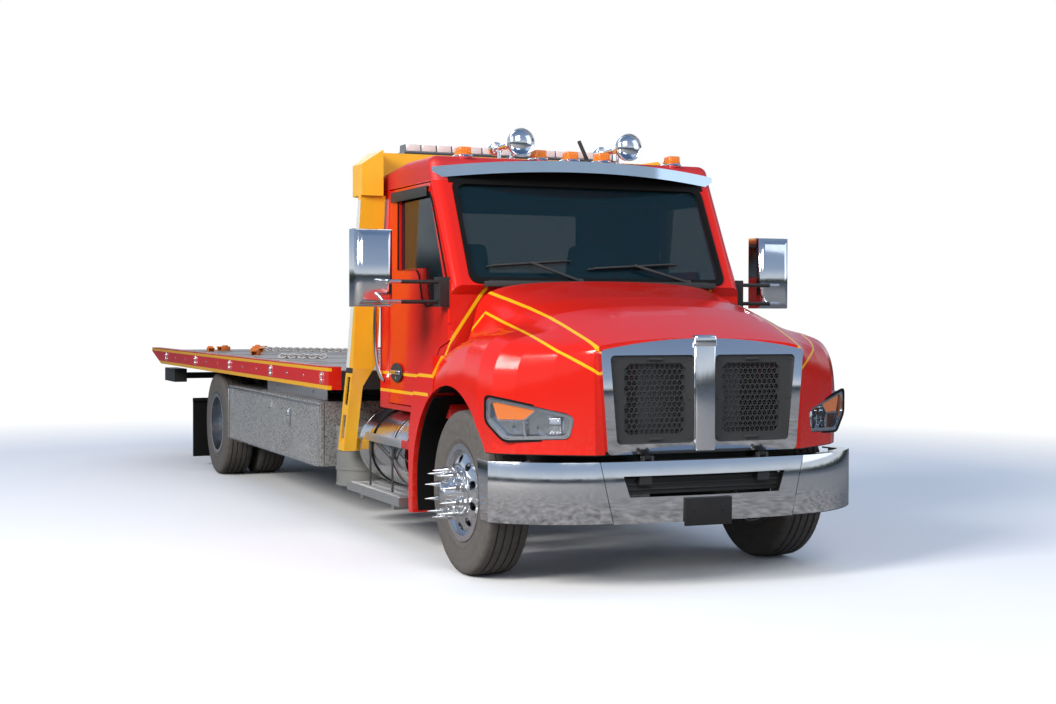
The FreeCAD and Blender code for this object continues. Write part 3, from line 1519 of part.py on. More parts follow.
def doors():
    """A hollow-windowed door as thick as the cab's side, its pane and its mirror, for the left."""
    half, wall, gap = s.cab_half_width, s.cab_wall, s.door_gap
    panel = prism("door_panel", "YZ_Plane", door_profile(gap), half - wall, half)
    window = prism("door_window", "YZ_Plane", pane_profile(as_size(0)), half - wall * 2, half + wall)
    start = (half, back(s.handle_back), s.handle_height)
    handle = rod("door_handle", s.handle_radius, start, s.handle_wall, "X")
    block_y = (back(s.door_front) + gap * 2, back(s.door_front) + gap * 2 + s.mirror_block_long)
    mid_high = (s.mirror_arm_high + s.mirror_arm_low) / 2
    z = (mid_high - s.mirror_block_high / 2, mid_high + s.mirror_block_high / 2)
    foot = block("mirror_foot", (half, half + s.mirror_block_wide), block_y, z)
    room = s.run_gap / 2
    opened = cut("door_open", panel, [window, *door_hinge("room", s.door_hinge_radius + room, room)])
    knuckles = []
    pins = []
    for level, middle in (("low", s.door_hinge_low), ("high", s.door_hinge_high)):
        start = (half, back(s.door_front) + gap, middle - s.door_hinge_half)
        knuckle_high = s.door_hinge_half * 2
        knuckles.append(rod(f"door_knuckle_{level}", s.door_hinge_radius, start, knuckle_high, "Z"))
        pins.append(rod(f"door_pin_room_{level}", s.door_pin_radius + s.pin_gap, start, knuckle_high, "Z"))
    door = cut("door_left", joined("door_solid", [opened, handle, *knuckles]), pins)
    middle = half - wall / 2
    pane = prism("door_glass_left", "YZ_Plane", pane_profile(s.seat_gap), middle, middle + s.glass_wall)
    y = (back(s.mirror_back), back(s.mirror_back) + s.mirror_depth)
    head = prism("mirror_head", "XY_Plane", [
        (s.mirror_inner, y[1]),
        (s.mirror_inner, y[0]),
        (s.mirror_outer, y[0]),
        (s.mirror_outer, y[1]),
    ], s.mirror_low, s.mirror_high)
    front_face = y[0].value + s.mirror_depth.value / 2

    def outer_edge(edge):
        return edge.BoundBox.YMax < front_face

    rounded(head, "mirror_round_edge", s.mirror_round, outer_edge)
    arm_y = block_y[0] + s.mirror_block_long / 2
    pieces = [head, foot]
    arm_length = s.mirror_inner + s.mirror_depth / 2 - half - s.mirror_block_wide / 2
    for name, height in (("high", s.mirror_arm_high), ("low", s.mirror_arm_low)):
        start = (half + s.mirror_block_wide / 2, arm_y, height)
        turn_start = (s.mirror_inner + s.mirror_depth / 2, arm_y, height)
        pieces.append(rod(f"mirror_arm_{name}", s.mirror_arm_radius, start, arm_length, "X"))
        bend = y[0] + s.mirror_depth / 2 - arm_y
        pieces.append(rod(f"mirror_bend_{name}", s.mirror_arm_radius, turn_start, bend, "Y"))
    return door, pane, joined("mirror_left", pieces)


def interior():
    """Dashboard, steering wheel with its column, and two seats."""
    inner = s.cab_half_width - s.cab_wall
    face = back(s.cab_front) + s.cab_wall
    dash = prism("dash_solid", "YZ_Plane", [
        (face, s.dash_low),
        (back(s.dash_back) - s.dash_lip, s.dash_low),
        (back(s.dash_back), s.dash_top - s.dash_lip * 2),
        (back(s.dash_back) - s.dash_lip / 2, s.dash_top),
        (face, s.dash_top - s.run_gap * 2),
    ], s.door_gap - inner, inner - s.door_gap)
    tilt = FreeCAD.Rotation(FreeCAD.Vector(1, 0, 0), -50)
    rim = doc.addObject("Part::Torus", "wheel_ring")
    bind(rim, "Radius1", s.wheel_ring_radius)
    bind(rim, "Radius2", s.wheel_ring_wire)
    column = doc.addObject("Part::Cylinder", "wheel_column")
    bind(column, "Radius", s.column_radius)
    bind(column, "Height", s.column_length)
    hub = doc.addObject("Part::Cylinder", "wheel_hub")
    bind(hub, "Radius", s.column_radius * 3)
    bind(hub, "Height", s.wheel_ring_wire * 2)
    spokes = []
    for number, angle in enumerate((0, 120, 240)):
        spoke = doc.addObject("Part::Box", f"wheel_spoke_{number}")
        bind(spoke, "Length", s.wheel_ring_radius)
        bind(spoke, "Width", s.wheel_ring_wire * 2)
        bind(spoke, "Height", s.wheel_ring_wire)
        spoke.Placement = FreeCAD.Placement(FreeCAD.Vector(), FreeCAD.Rotation(FreeCAD.Vector(0, 0, 1), angle))
        spokes.append(spoke)
    bind(column, "Placement.Base.z", -s.column_length)
    wheel = joined("steering_wheel", [rim, column, hub, *spokes])
    wheel.Placement = FreeCAD.Placement(FreeCAD.Vector(), tilt)
    move(wheel, s.wheel_side, back(s.wheel_back), s.wheel_height)
    socket = doc.addObject("Part::Cylinder", "column_socket")
    bind(socket, "Radius", s.column_radius + s.seat_gap)
    bind(socket, "Height", s.column_length)
    bind(socket, "Placement.Base.z", -s.column_length - s.seat_gap)
    socket = grouped("column_way", [socket])
    socket.Placement = FreeCAD.Placement(FreeCAD.Vector(), tilt)
    move(socket, s.wheel_side, back(s.wheel_back), s.wheel_height)
    dash = cut("dashboard", dash, [socket])
    seat_in = s.seat_side - s.seat_half_width
    seat_out = s.seat_side + s.seat_half_width
    seat_rear = back(s.seat_front + s.seat_depth)
    cushion = block("cushion", (seat_in, seat_out), (back(s.seat_front), seat_rear), (s.cushion_low, s.cushion_high))
    rest_y = (seat_rear + s.seat_gap, seat_rear + s.seat_gap + s.seat_back_wall)
    rest = block("seat_rest", (seat_in, seat_out), rest_y, (s.cushion_low, s.seat_back_high))
    return [dash, wheel, pair("seat_cushions", cushion), pair("seat_backs", rest)]


def sun_visor():
    """A bright brow over the windshield, crowned in the middle and swept back to its ends."""
    half, crown = s.visor_half_width, s.visor_crown
    sweep = s.visor_end_back - s.visor_front
    crown_bow = (half * half + crown * crown) / (crown * 2)
    sweep_bow = (half * half + sweep * sweep) / (sweep * 2)
    low, high = s.visor_end_low, s.visor_end_low + s.visor_depth
    y = (back(s.visor_front), back(s.brow_back))
    band = prism("visor_band", "XZ_Plane", [
        (-half, low, crown_bow, -1),
        (as_size(0), low + crown, crown_bow, -1),
        (half, low),
        (half, high, crown_bow, 1),
        (as_size(0), high + crown, crown_bow, 1),
        (-half, high),
    ], y[0] - s.overrun, y[1])
    plan = prism("visor_plan", "XY_Plane", [
        (-half, back(s.visor_end_back), sweep_bow, 1),
        (as_size(0), y[0], sweep_bow, 1),
        (half, back(s.visor_end_back)),
        (half, y[1]),
        (-half, y[1]),
    ], low - s.overrun, high + crown + s.overrun)
    reach = half + s.overrun
    cab_zone = prism("visor_cab_zone", "YZ_Plane", cab_profile(-s.seat_gap), -reach, reach)
    return cut("sun_visor", common("visor_brow", band, plan), [cab_zone])


def roof_gear():
    """Sun visor, five marker lights and two air horns on the cab's roof."""
    visor = sun_visor()
    markers = []
    for number, side in enumerate((0, 1, -1, 2, -2)):
        if side:
            place = s.marker_inner_side if abs(side) == 1 else s.marker_outer_side
            place = place if side > 0 else -place
        else:
            place = as_size(0)
        front = back(s.marker_front)
        marker = prism(f"marker_{number}", "YZ_Plane", [
            (front, s.roof_peak),
            (front + s.marker_length, s.roof_peak),
            (front + s.marker_length * BLUNT_SHARE, s.roof_peak + s.marker_height),
            (front + s.marker_length / 5, s.roof_peak + s.marker_height * BLUNT_SHARE),
        ], place - s.marker_width / 2, place + s.marker_width / 2)
        markers.append(marker)
    horn = doc.addObject("PartDesign::Body", "horn")
    bell, throat, length = s.horn_bell_radius, s.horn_throat_radius, s.horn_length
    profile = sketch_in(horn, "horn_outline", "XY_Plane", 0, [[
        (bell, 0),
        (bell * BLUNT_SHARE, s.horn_length / 6),
        (throat * 1.5, length / 2),
        (throat, length),
        (0, length),
        (0, s.horn_length / 5),
        (bell - throat / 4, 0),
    ]])
    spun = horn.newObject("PartDesign::Revolution", "horn_turn")
    spun.Profile = profile
    spun.ReferenceAxis = (profile, ["V_Axis"])
    spun.Angle = 360
    move(horn, s.horn_side, back(s.horn_front), horn_height)
    posts = []
    for number, share in enumerate((0.4, 0.9)):
        start = (s.horn_side, back(s.horn_front) + length * share, s.roof_peak)
        posts.append(rod(f"horn_post_{number}", s.horn_post_radius, start, horn_height - s.roof_peak, "Z"))
    left = joined("horn_left", [horn, *posts])
    return visor, markers, pair("air_horns", left)


def cab_arch():
    """The arch behind the cab: two leaning legs of bent plate, foot bars and the head beam with wings."""
    plate = s.arch_leg_wall
    front = [
        (back(s.arch_foot_front), s.arch_foot),
        (back(s.arch_knee_front), s.arch_knee),
        (back(s.arch_head_front), s.arch_head),
    ]
    rear = [
        (back(s.arch_head_back), s.arch_head),
        (back(s.arch_knee_back), s.arch_knee),
        (back(s.arch_foot_back), s.arch_foot),
    ]
    lean = (s.arch_foot_front - s.arch_knee_front) / (s.arch_knee - s.arch_foot)
    windows = []
    for low, high in ((0.10, 0.44), (0.56, 0.90)):
        rise = s.arch_knee - s.arch_foot
        z = (s.arch_foot + rise * low, s.arch_foot + rise * high)
        y = [back(s.arch_foot_front) - lean * (level - s.arch_foot) + plate * 3 for level in z]
        width = s.arch_foot_back - s.arch_foot_front - plate * 6
        windows.append([(y[0], z[0]), (y[0] + width, z[0]), (y[1] + width, z[1]), (y[1], z[1])])
    side = prism("arch_side", "YZ_Plane", front + rear, s.arch_side - plate, s.arch_side, holes=windows)
    face_back = [(corner[0] + plate, corner[1]) for corner in reversed(front)]
    face = prism("arch_face", "YZ_Plane", front + face_back, s.arch_plate_inner, s.arch_side)
    gusset = prism("arch_face_outline", "XZ_Plane", [
        (s.arch_side - s.cross_width, s.arch_foot),
        (s.arch_side, s.arch_foot),
        (s.arch_side, s.arch_head),
        (s.arch_plate_inner, s.arch_head),
        (s.arch_plate_inner, s.arch_plate_foot),
        (s.arch_side - s.cross_width, s.arch_plate_foot - s.cross_width * 2),
    ], back(s.arch_head_front) - s.overrun, back(s.arch_foot_back) + s.overrun)
    face = common("arch_face_cut", face, gusset)
    foot_z = (s.arch_foot, s.arch_foot + s.foot_bar_height)
    foot_y = (back(s.arch_foot_front) + plate, back(s.arch_foot_back))
    foot = block("arch_foot", (s.rail_outer, s.arch_side - plate), foot_y, foot_z)
    hanger_z = (s.arch_foot, s.rail_top)
    hanger = block("arch_hanger", (s.rail_outer, s.rail_outer + plate), foot_y, hanger_z)
    leg = joined("arch_leg", [side, face, foot, hanger])
    plan = prism("beam_plan", "XY_Plane", [
        (-s.arch_plate_inner, back(s.beam_front)),
        (s.arch_plate_inner, back(s.beam_front)),
        (s.arch_plate_inner + plate * 2, back(s.door_back)),
        (s.arch_side, back(s.door_back)),
        (s.arch_side, back(s.beam_front)),
        (s.arch_plate_inner, back(s.beam_front) + s.beam_depth),
        (-s.arch_plate_inner, back(s.beam_front) + s.beam_depth),
        (-s.arch_side, back(s.beam_front)),
        (-s.arch_side, back(s.door_back)),
        (-s.arch_plate_inner - plate * 2, back(s.door_back)),
    ], s.arch_head, s.beam_top)
    face_outline = both_sides([
        (s.arch_side, s.arch_head),
        (s.arch_side, s.beam_corner_low),
        (s.beam_corner_side, s.beam_top),
    ])
    section_back = back(s.beam_front) + s.beam_depth + s.overrun
    section = prism("beam_section", "XZ_Plane", face_outline, back(s.door_back) - s.overrun, section_back)
    return joined("cab_arch", [leg, mirrored("arch_leg_right", leg), common("arch_beam", plan, section)])


def light_bar():
    """The warning light bar on the arch: a base with a row of lamp modules."""
    middle = back(s.beam_front) + s.beam_depth / 2
    half = s.light_bar_half
    y = (middle - s.light_bar_width / 2, middle + s.light_bar_width / 2)
    base = block("light_bar_base", (-half, half), y, (s.beam_top, s.beam_top + s.light_bar_base))
    low = s.beam_top + s.light_bar_base
    high = s.beam_top + s.light_bar_height
    bevel = s.light_bar_base
    modules = prism("light_bar_lamps", "YZ_Plane", [
        (y[0] + bevel / 2, low),
        (y[1] - bevel / 2, low),
        (y[1] - bevel, high),
        (y[0] + bevel, high),
    ], bevel - half, half - bevel)
    return joined("light_bar", [base, modules])


def side_gear():
    """Strapped fuel tanks and steps on both sides, and the right side's canister."""
    front = back(s.tank_front)
    tank = rod("tank", s.tank_radius, (s.tank_side, front, s.tank_height), s.tank_length, "Y")
    pieces = [tank]
    for number, share in enumerate((0.25, 0.75), start=1):
        start = (s.tank_side, front + s.tank_length * share - s.strap_width / 2, s.tank_height)
        strap = rod(f"strap_{number}", s.tank_radius + s.strap_wall, start, s.strap_width, "Y")
        low = s.tank_height - s.tank_radius / 2
        y = (start[1], start[1] + s.strap_width)
        bracket = block(f"tank_bracket_{number}", (s.rail_outer, s.tank_side), y, (low, s.tank_height))
        pieces += [strap, bracket]
    cap_start = (s.tank_side, front + s.tank_length * 0.9, s.tank_height)
    pieces.append(rod("tank_cap", s.tank_cap_radius, cap_start, s.tank_radius + s.tank_cap_height, "Z"))
    tanks = pair("fuel_tanks", joined("fuel_tank", pieces))
    step_back = back(s.step_front) + s.step_length
    board = block(
        "step_board",
        (s.step_inner, s.step_outer),
        (back(s.step_front), step_back),
        (s.step_top - s.step_wall, s.step_top),
    )
    boards = [board]
    for number, share in enumerate((0.2, 0.8), start=1):
        y = back(s.step_front) + s.step_length * share
        low = s.step_top - s.step_wall - s.step_hanger
        beam = block(
            f"step_beam_{number}",
            (s.rail_outer, s.step_outer - s.step_hanger),
            (y, y + s.step_hanger),
            (low, low + s.step_hanger),
        )
        post = block(
            f"step_post_{number}",
            (s.rail_outer, s.rail_outer + s.rail_wall * 2),
            (y, y + s.step_hanger),
            (low, rail_low + s.step_hanger * 2),
        )
        boards += [beam, post]
    steps = pair("steps", joined("step", boards))
    middle = (-s.canister_side, back(s.canister_back))
    height = s.canister_high - s.canister_low
    body = rod("canister_body", s.canister_radius, (*middle, s.canister_low), height, "Z")
    parts = [body]
    for number, share in enumerate((0.30, 0.62, 0.94), start=1):
        low = s.canister_low + height * share - s.canister_band / 2
        band = rod(f"canister_band_{number}", s.canister_radius + s.band_proud, (*middle, low), s.canister_band, "Z")
        parts.append(band)
    low = s.canister_low + height / 2
    y = (middle[1] - s.cross_width / 2, middle[1] + s.cross_width / 2)
    parts.append(block("canister_bracket", (-s.canister_side, -s.rail_outer), y, (low, s.canister_high - s.overrun)))
    return tanks, steps, joined("canister", parts)


def toolboxes():
    """Long hollow boxes under the deck's edges, hung on brackets, with drop-down doors."""
    y = (back(s.box_front), back(s.box_front) + box_length)
    wall = s.box_wall
    shell_outer = s.box_outer - s.box_door_wall - s.run_gap
    solid = block("box_solid", (s.box_inner, shell_outer), y, (s.box_low, s.box_high))
    room = block(
        "box_room",
        (s.box_inner + wall, s.box_outer),
        (y[0] + wall, y[1] - wall),
        (s.box_low + wall, s.box_high - wall),
    )
    box = cut("box_shell", solid, [room])
    pieces = [box]
    for number, share in enumerate((0.08, 0.5, 0.92), start=1):
        middle = y[0] + box_length * share
        place = (middle - s.box_bracket / 2, middle + s.box_bracket / 2)
        z = (rail_low + s.overrun, s.rail_top - s.overrun)
        pieces.append(block(f"box_bracket_{number}", (s.rail_outer, s.box_inner), place, z))
    door_in = s.box_outer - s.box_door_wall
    hinge_side = s.box_outer - s.box_door_wall / 2
    hinge_z = s.box_low - s.box_hinge_drop
    radius, half = s.box_hinge_radius, s.box_hinge_half
    foot_in = shell_outer - s.overrun
    knuckles = []
    pins = []
    for number, share in enumerate(BOX_HINGE_SHARES, start=1):
        middle = y[0] + box_length * share
        lug_y = (middle + s.run_gap / 6 + half, middle - s.run_gap / 6 - half * 2)
        for end, low in zip(("rear", "front"), lug_y):
            pieces.append(rod(f"box_lug_{number}_{end}", radius, (hinge_side, low, hinge_z), half, "Y"))
            lug_x = (foot_in, hinge_side)
            arm = block(f"box_arm_{number}_{end}", lug_x, (low, low + half), (hinge_z - radius, hinge_z + radius))
            foot_x = (foot_in, foot_in + s.box_wall)
            foot = block(f"box_foot_{number}_{end}", foot_x, (low, low + half), (hinge_z, s.box_low + s.box_wall))
            pieces += [arm, foot]
        pin_start = (hinge_side, middle - half * 2, hinge_z)
        pieces.append(rod(f"box_pin_{number}", s.box_pin_radius, pin_start, half * 4, "Y"))
        start = (hinge_side, middle - half, hinge_z)
        knuckles.append(rod(f"box_knuckle_{number}", radius, start, half * 2, "Y"))
        web_x = (hinge_side - radius, hinge_side + radius)
        web_y = (middle - half, middle + half)
        knuckles.append(block(f"box_knuckle_web_{number}", web_x, web_y, (hinge_z, s.box_low + radius)))
        pins.append(rod(f"box_pin_room_{number}", s.box_pin_radius + s.pin_gap, start, half * 2, "Y"))
    boxes = pair("toolboxes", joined("toolbox", pieces))
    inset = s.run_gap
    door = block(
        "toolbox_door_plate",
        (door_in, s.box_outer),
        (y[0] + inset, y[1] - inset),
        (s.box_low, s.box_high),
    )
    middle = (y[0] + y[1]) / 2
    handle = block(
        "toolbox_latch",
        (s.box_outer, s.box_outer + s.handle_wall),
        (middle - s.handle_radius, middle + s.handle_radius),
        (s.box_high - s.handle_radius * 2, s.box_high - s.handle_radius),
    )
    return boxes, cut("toolbox_door_left", joined("toolbox_door_solid", [door, handle, *knuckles]), pins)


def wheel_guards():
    """Mud flaps hung from bars behind the rear wheels; quarter fenders behind the front wheels."""
    y = back(s.flap_back)
    bar = rod("flap_bar", s.flap_bar_radius, (s.rail_outer, y, s.flap_high), s.flap_outer - s.rail_outer, "X")
    flap = block("flap", (s.flap_inner, s.flap_outer), (y, y + s.flap_wall), (s.flap_low, s.flap_high))
    hung = joined("mud_flap", [bar, flap])

    def outline(shrink):
        rise = s.quarter_width
        start = back(s.hood_back) + s.run_gap + shrink
        arch_run = start - back(s.arch_back)
        arch_high = s.axle_height + root(s.arch_radius * s.arch_radius - arch_run * arch_run)
        edge = back(s.arch_back) + s.arch_radius
        return [
            (start, arch_high + shrink * 2, s.arch_radius, -1),
            (edge + shrink, s.axle_height),
            (edge + shrink, s.quarter_low + shrink),
            (edge + s.overrun * 2 - shrink, s.quarter_low + shrink),
            (edge + s.overrun * 2 - shrink, s.axle_height + rise * 2),
            (edge - s.overrun - shrink, s.hood_hem + rise * 2.3 - shrink),
            (edge - s.overrun * 5.5 - shrink, s.hood_hem + rise * 3.1 - shrink),
            (start, s.hood_hem + rise * 3.4 - shrink),
        ]

    inner = s.cab_half_width + s.seat_gap
    solid = prism("quarter_solid", "YZ_Plane", outline(as_size(0)), inner, s.hood_half_width)
    hollow = prism("quarter_hollow", "YZ_Plane", outline(s.quarter_lip), inner - s.overrun, s.hood_half_width - s.quarter_lip)
    shell = cut("quarter_shell", solid, [hollow])
    cab_zone = block(
        "liner_cab_zone",
        (0, inner),
        (back(s.cab_front) - s.seat_gap, back(s.cab_back)),
        (s.cab_bottom - s.seat_gap, s.roof_peak),
    )
    liner = cut("quarter_liner", arch_liner("quarter_liner_form", *QUARTER_LINER_ANGLES), [cab_zone])
    left = [hung, liner]
    guards = grouped("splash_guards", left + [mirrored(f"{piece.Name}_right", piece) for piece in left])
    return guards, pair("quarter_fenders", shell)


def tilt_frame():
    """The frame that tilts with the deck: two tubes, ties and the slide barrel, with the lift's brackets."""
    y = (back(s.tilt_front), back(s.tilt_back))
    tube = block("tilt_tube", (s.tilt_inner, s.tilt_outer), y, (s.tilt_low, s.tilt_high))
    bore_start = (s.tilt_inner - s.overrun, tilt_pivot, s.pivot_height)
    bore_length = s.tilt_outer - s.tilt_inner + s.overrun * 2
    bore = rod("tilt_bore", s.pivot_pin_radius + s.pin_gap, bore_start, bore_length, "X")
    tube = cut("tilt_tube_bored", tube, [bore])
    inner = s.tilt_inner
    tie_z = (s.tilt_low, s.tilt_low + s.tie_wall)
    pieces = [tube, mirrored("tilt_tube_right", tube)]
    for number, share in enumerate((0.0, 0.28, 0.55, 0.80), start=1):
        start = y[0] + (s.tilt_back - s.tilt_front) * share
        pieces.append(block(f"tilt_tie_{number}", (-inner, inner), (start, start + s.cross_width), tie_z))
    lift_y = (back(s.lift_pin_back) - s.cross_width, y[1])
    pieces.append(block("tilt_tail", (-inner, inner), lift_y, tie_z))
    barrel_start = (0, back(s.slide_barrel_front), s.slide_height)
    barrel = rod("slide_barrel", s.barrel_radius, barrel_start, s.slide_barrel_length, "Y")
    bore_start = (0, back(s.slide_barrel_front) + s.overrun, s.slide_height)
    barrel_bore = rod("slide_bore", s.barrel_bore, bore_start, s.slide_barrel_length, "Y")
    barrel = cut("slide_barrel_bored", barrel, [barrel_bore])
    pieces.append(barrel)
    ear_in = s.lift_half_width + s.run_gap
    ear_low = s.lift_pin_height - s.lift_half_height
    ear_y = (back(s.lift_pin_back) - s.lift_half_height, back(s.lift_pin_back) + s.lift_half_height)
    ear = block("lift_ear", (ear_in, ear_in + s.lift_ear_wall), ear_y, (ear_low, s.tilt_low - s.seat_gap))
    pin_reach = ear_in + s.lift_ear_wall
    stub_start = (s.lift_half_width - s.lift_wall, back(s.lift_pin_back), s.lift_pin_height)
    stub = rod("lift_stub", s.lift_pin_radius, stub_start, pin_reach - s.lift_half_width + s.lift_wall, "X")
    ear = joined("lift_bracket", [ear, stub])
    head = (s.ram_side, back(s.ram_head_back), s.ram_head_height)
    lug_y = (head[1] - s.ram_eye_radius, head[1] + s.ram_eye_radius)
    lug_z = (s.ram_head_height - s.ram_eye_radius, s.tilt_low)
    lug_in = s.ram_side + s.ram_barrel_radius
    lug = block("ram_lug", (lug_in, lug_in + s.lift_ear_wall), lug_y, lug_z)
    plate = block("ram_lug_plate", (-inner, inner), lug_y, tie_z)
    boss_start = (lug_in + s.lift_ear_wall, *head[1:])
    boss = rod("ram_lug_boss", s.ram_pin_radius, boss_start, s.lift_ear_wall / 2, "X")
    pieces += [lug, plate, boss, mirrored("ram_lug_right", lug), mirrored("ram_lug_boss_right", boss)]
    frame = joined("tilt_frame_solid", pieces)
    return grouped("tilt_frame", [frame, ear, mirrored("lift_bracket_right", ear)])


def ram(name, radius, bore, start_share, end_share, eye_at_foot):
    """Half of a tilt ram on the line from its foot pin to its head pin."""
    run = s.ram_head_back - s.ram_foot_back
    rise = s.ram_head_height - s.ram_foot_height
    length = root(run * run + rise * rise)
    body = rod(f"{name}_body", radius, (0, length * start_share, 0), length * (end_share - start_share), "Y")
    pieces = [body]
    tools = []
    if bore:
        bore_start = (0, length * start_share + s.overrun * 2, 0)
        tools.append(rod(f"{name}_bore", bore, bore_start, length, "Y"))
    eye_place = 0 if eye_at_foot else length
    half = s.ram_eye_radius
    eye = rod(f"{name}_eye", s.ram_eye_radius, (-half / 2, eye_place, 0), half, "X")
    if eye_at_foot:
        hole_half = s.ram_barrel_radius + s.run_gap
        hole_start = (-hole_half, eye_place, 0)
        tools.append(rod(f"{name}_hole", s.ram_pin_radius + s.pin_gap, hole_start, hole_half * 2, "X"))
        half_ram = cut(f"{name}_one", joined(f"{name}_solid", [body, eye]), tools)
    else:
        pin = rod(f"{name}_pin", s.ram_pin_radius, (0, eye_place, 0), s.ram_barrel_radius - s.seat_gap, "X")
        half_ram = joined(f"{name}_one", [body, eye, pin])
    tilt = FreeCAD.Rotation(FreeCAD.Vector(1, 0, 0), 1)
    half_ram.Placement = FreeCAD.Placement(FreeCAD.Vector(), tilt)
    bind(half_ram, "Placement.Rotation.Angle", slope_angle(rise, run))
    move(half_ram, s.ram_side, back(s.ram_foot_back), s.ram_foot_height)
    return pair(name, half_ram)


def deck(winch_frame):
    """The sliding deck: floor on cross channels and two long beams, with the winch frame at its head."""
    front = back(s.deck_front)
    inner = s.deck_half_width - s.deck_rail_wall
    floor_z = (s.deck_floor_high - s.deck_floor_wall, s.deck_floor_high)
    floor = block("deck_plate", (-inner, inner), (front, tail), floor_z)
    pieces = [floor]
    last = back(s.deck_tail_back) - s.cross_width
    pitch = (last - front) / (DECK_CROSS_COUNT - 1)
    for number in range(DECK_CROSS_COUNT):
        start = front + pitch * number
        y = (start, start + s.cross_width)
        pieces.append(block(f"deck_cross_{number}", (-inner, inner), y, (s.deck_cross_low, floor_z[0])))
    beam_y = (front + s.cross_width / 2, last + s.cross_width / 2)
    beam = block("deck_beam", (s.deck_beam_inner, s.deck_beam_outer), beam_y, (s.deck_beam_low, s.deck_cross_low))
    pad_z = (s.tilt_high + s.seat_gap, s.deck_cross_low)
    wear = block("deck_wear_pad", (s.tilt_inner, s.tilt_outer), beam_y, pad_z)
    eye_y = (back(s.slide_eye_back), back(s.slide_eye_back) + s.slide_eye_length)
    eye_half = s.slide_eye_half
    eye_z = (s.slide_height - s.rod_radius - s.seat_gap * 10, s.deck_cross_low)
    eye = block("slide_eye", (-eye_half, eye_half), eye_y, eye_z)
    rod_start = (0, back(s.slide_rod_front), s.slide_height)
    slide_rod = rod("slide_rod", s.rod_radius, rod_start, eye_y[0] - rod_start[1], "Y")
    carrier_z = (s.deck_cross_low, floor_z[0])
    carrier = block("slide_eye_carrier", (-s.deck_beam_outer, s.deck_beam_outer), eye_y, carrier_z)
    bulkhead = block("deck_bulkhead", (-inner, inner), (front, front + s.bulkhead_wall), (s.deck_rail_low, floor_z[0]))
    left = [beam, wear]
    pieces += [*left, *[mirrored(f"{piece.Name}_right", piece) for piece in left], eye, slide_rod, carrier, bulkhead]
    rail = prism("deck_rail", "YZ_Plane", [
        (front, s.deck_rail_low),
        (back(s.deck_tail_back), s.deck_rail_low),
        (tail, s.deck_tip_low),
        (tail, s.deck_rail_high),
        (front, s.deck_rail_high),
    ], inner, s.deck_half_width)
    return joined("deck_frame", [*pieces, winch_frame]), pair("deck_rails", rail)


def winch():
    """The winch at the deck's head: side plates with a tie and gear case, and the turning drum."""
    y = (back(s.winch_front), back(s.winch_front) + s.winch_length)
    plate = prism("winch_plate", "YZ_Plane", [
        (y[0], s.deck_floor_high),
        (y[1], s.deck_floor_high),
        (y[1] - s.winch_length / 4, s.winch_top),
        (y[0] + s.winch_length / 4, s.winch_top),
    ], s.winch_side, s.winch_side + s.winch_wall)
    middle = (y[0] + y[1]) / 2
    bore_start = (s.winch_side - s.overrun, middle, s.winch_axis_height)
    bore = rod("winch_bore", s.drum_pin_radius + s.pin_gap, bore_start, s.overrun * 3, "X")
    bored = cut("winch_plate_bored", plate, [bore])
    tie_y = (middle - s.winch_length / 6, middle + s.winch_length / 6)
    tie_z = (s.winch_top - s.winch_wall, s.winch_top)
    tie = block("winch_tie", (-s.winch_side, s.winch_side), tie_y, tie_z)
    case_start = (s.winch_side + s.winch_wall, middle, s.winch_axis_height)
    case = rod("winch_case", s.gear_radius, case_start, s.gear_length, "X")
    case_bore_start = (s.winch_side, middle, s.winch_axis_height)
    case_bore = rod("winch_case_bore", s.drum_pin_radius + s.pin_gap, case_bore_start, s.winch_wall * 2, "X")
    case = cut("winch_case_bored", case, [case_bore])
    frame = joined("winch_frame", [bored, mirrored("winch_plate_right", bored), tie, case])
    reach = s.winch_side - s.run_gap
    flange = s.drum_flange_wall
    drum = doc.addObject("PartDesign::Body", "winch_drum")
    pin_reach = s.winch_side + s.winch_wall
    outline = [
        (-pin_reach, 0),
        (pin_reach, 0),
        (pin_reach, s.drum_pin_radius),
        (reach, s.drum_pin_radius),
        (reach, s.drum_flange_radius),
        (reach - flange, s.drum_flange_radius),
        (reach - flange, s.drum_core_radius),
        (flange - reach, s.drum_core_radius),
        (flange - reach, s.drum_flange_radius),
        (-reach, s.drum_flange_radius),
        (-reach, s.drum_pin_radius),
        (-pin_reach, s.drum_pin_radius),
    ]
    sketch = sketch_in(drum, "winch_drum_outline", "XZ_Plane", 0, [outline])
    spun = drum.newObject("PartDesign::Revolution", "winch_drum_turn")
    spun.Profile = sketch
    spun.ReferenceAxis = (sketch, ["H_Axis"])
    spun.Angle = 360
    move(drum, 0, middle, s.winch_axis_height)
    return frame, drum


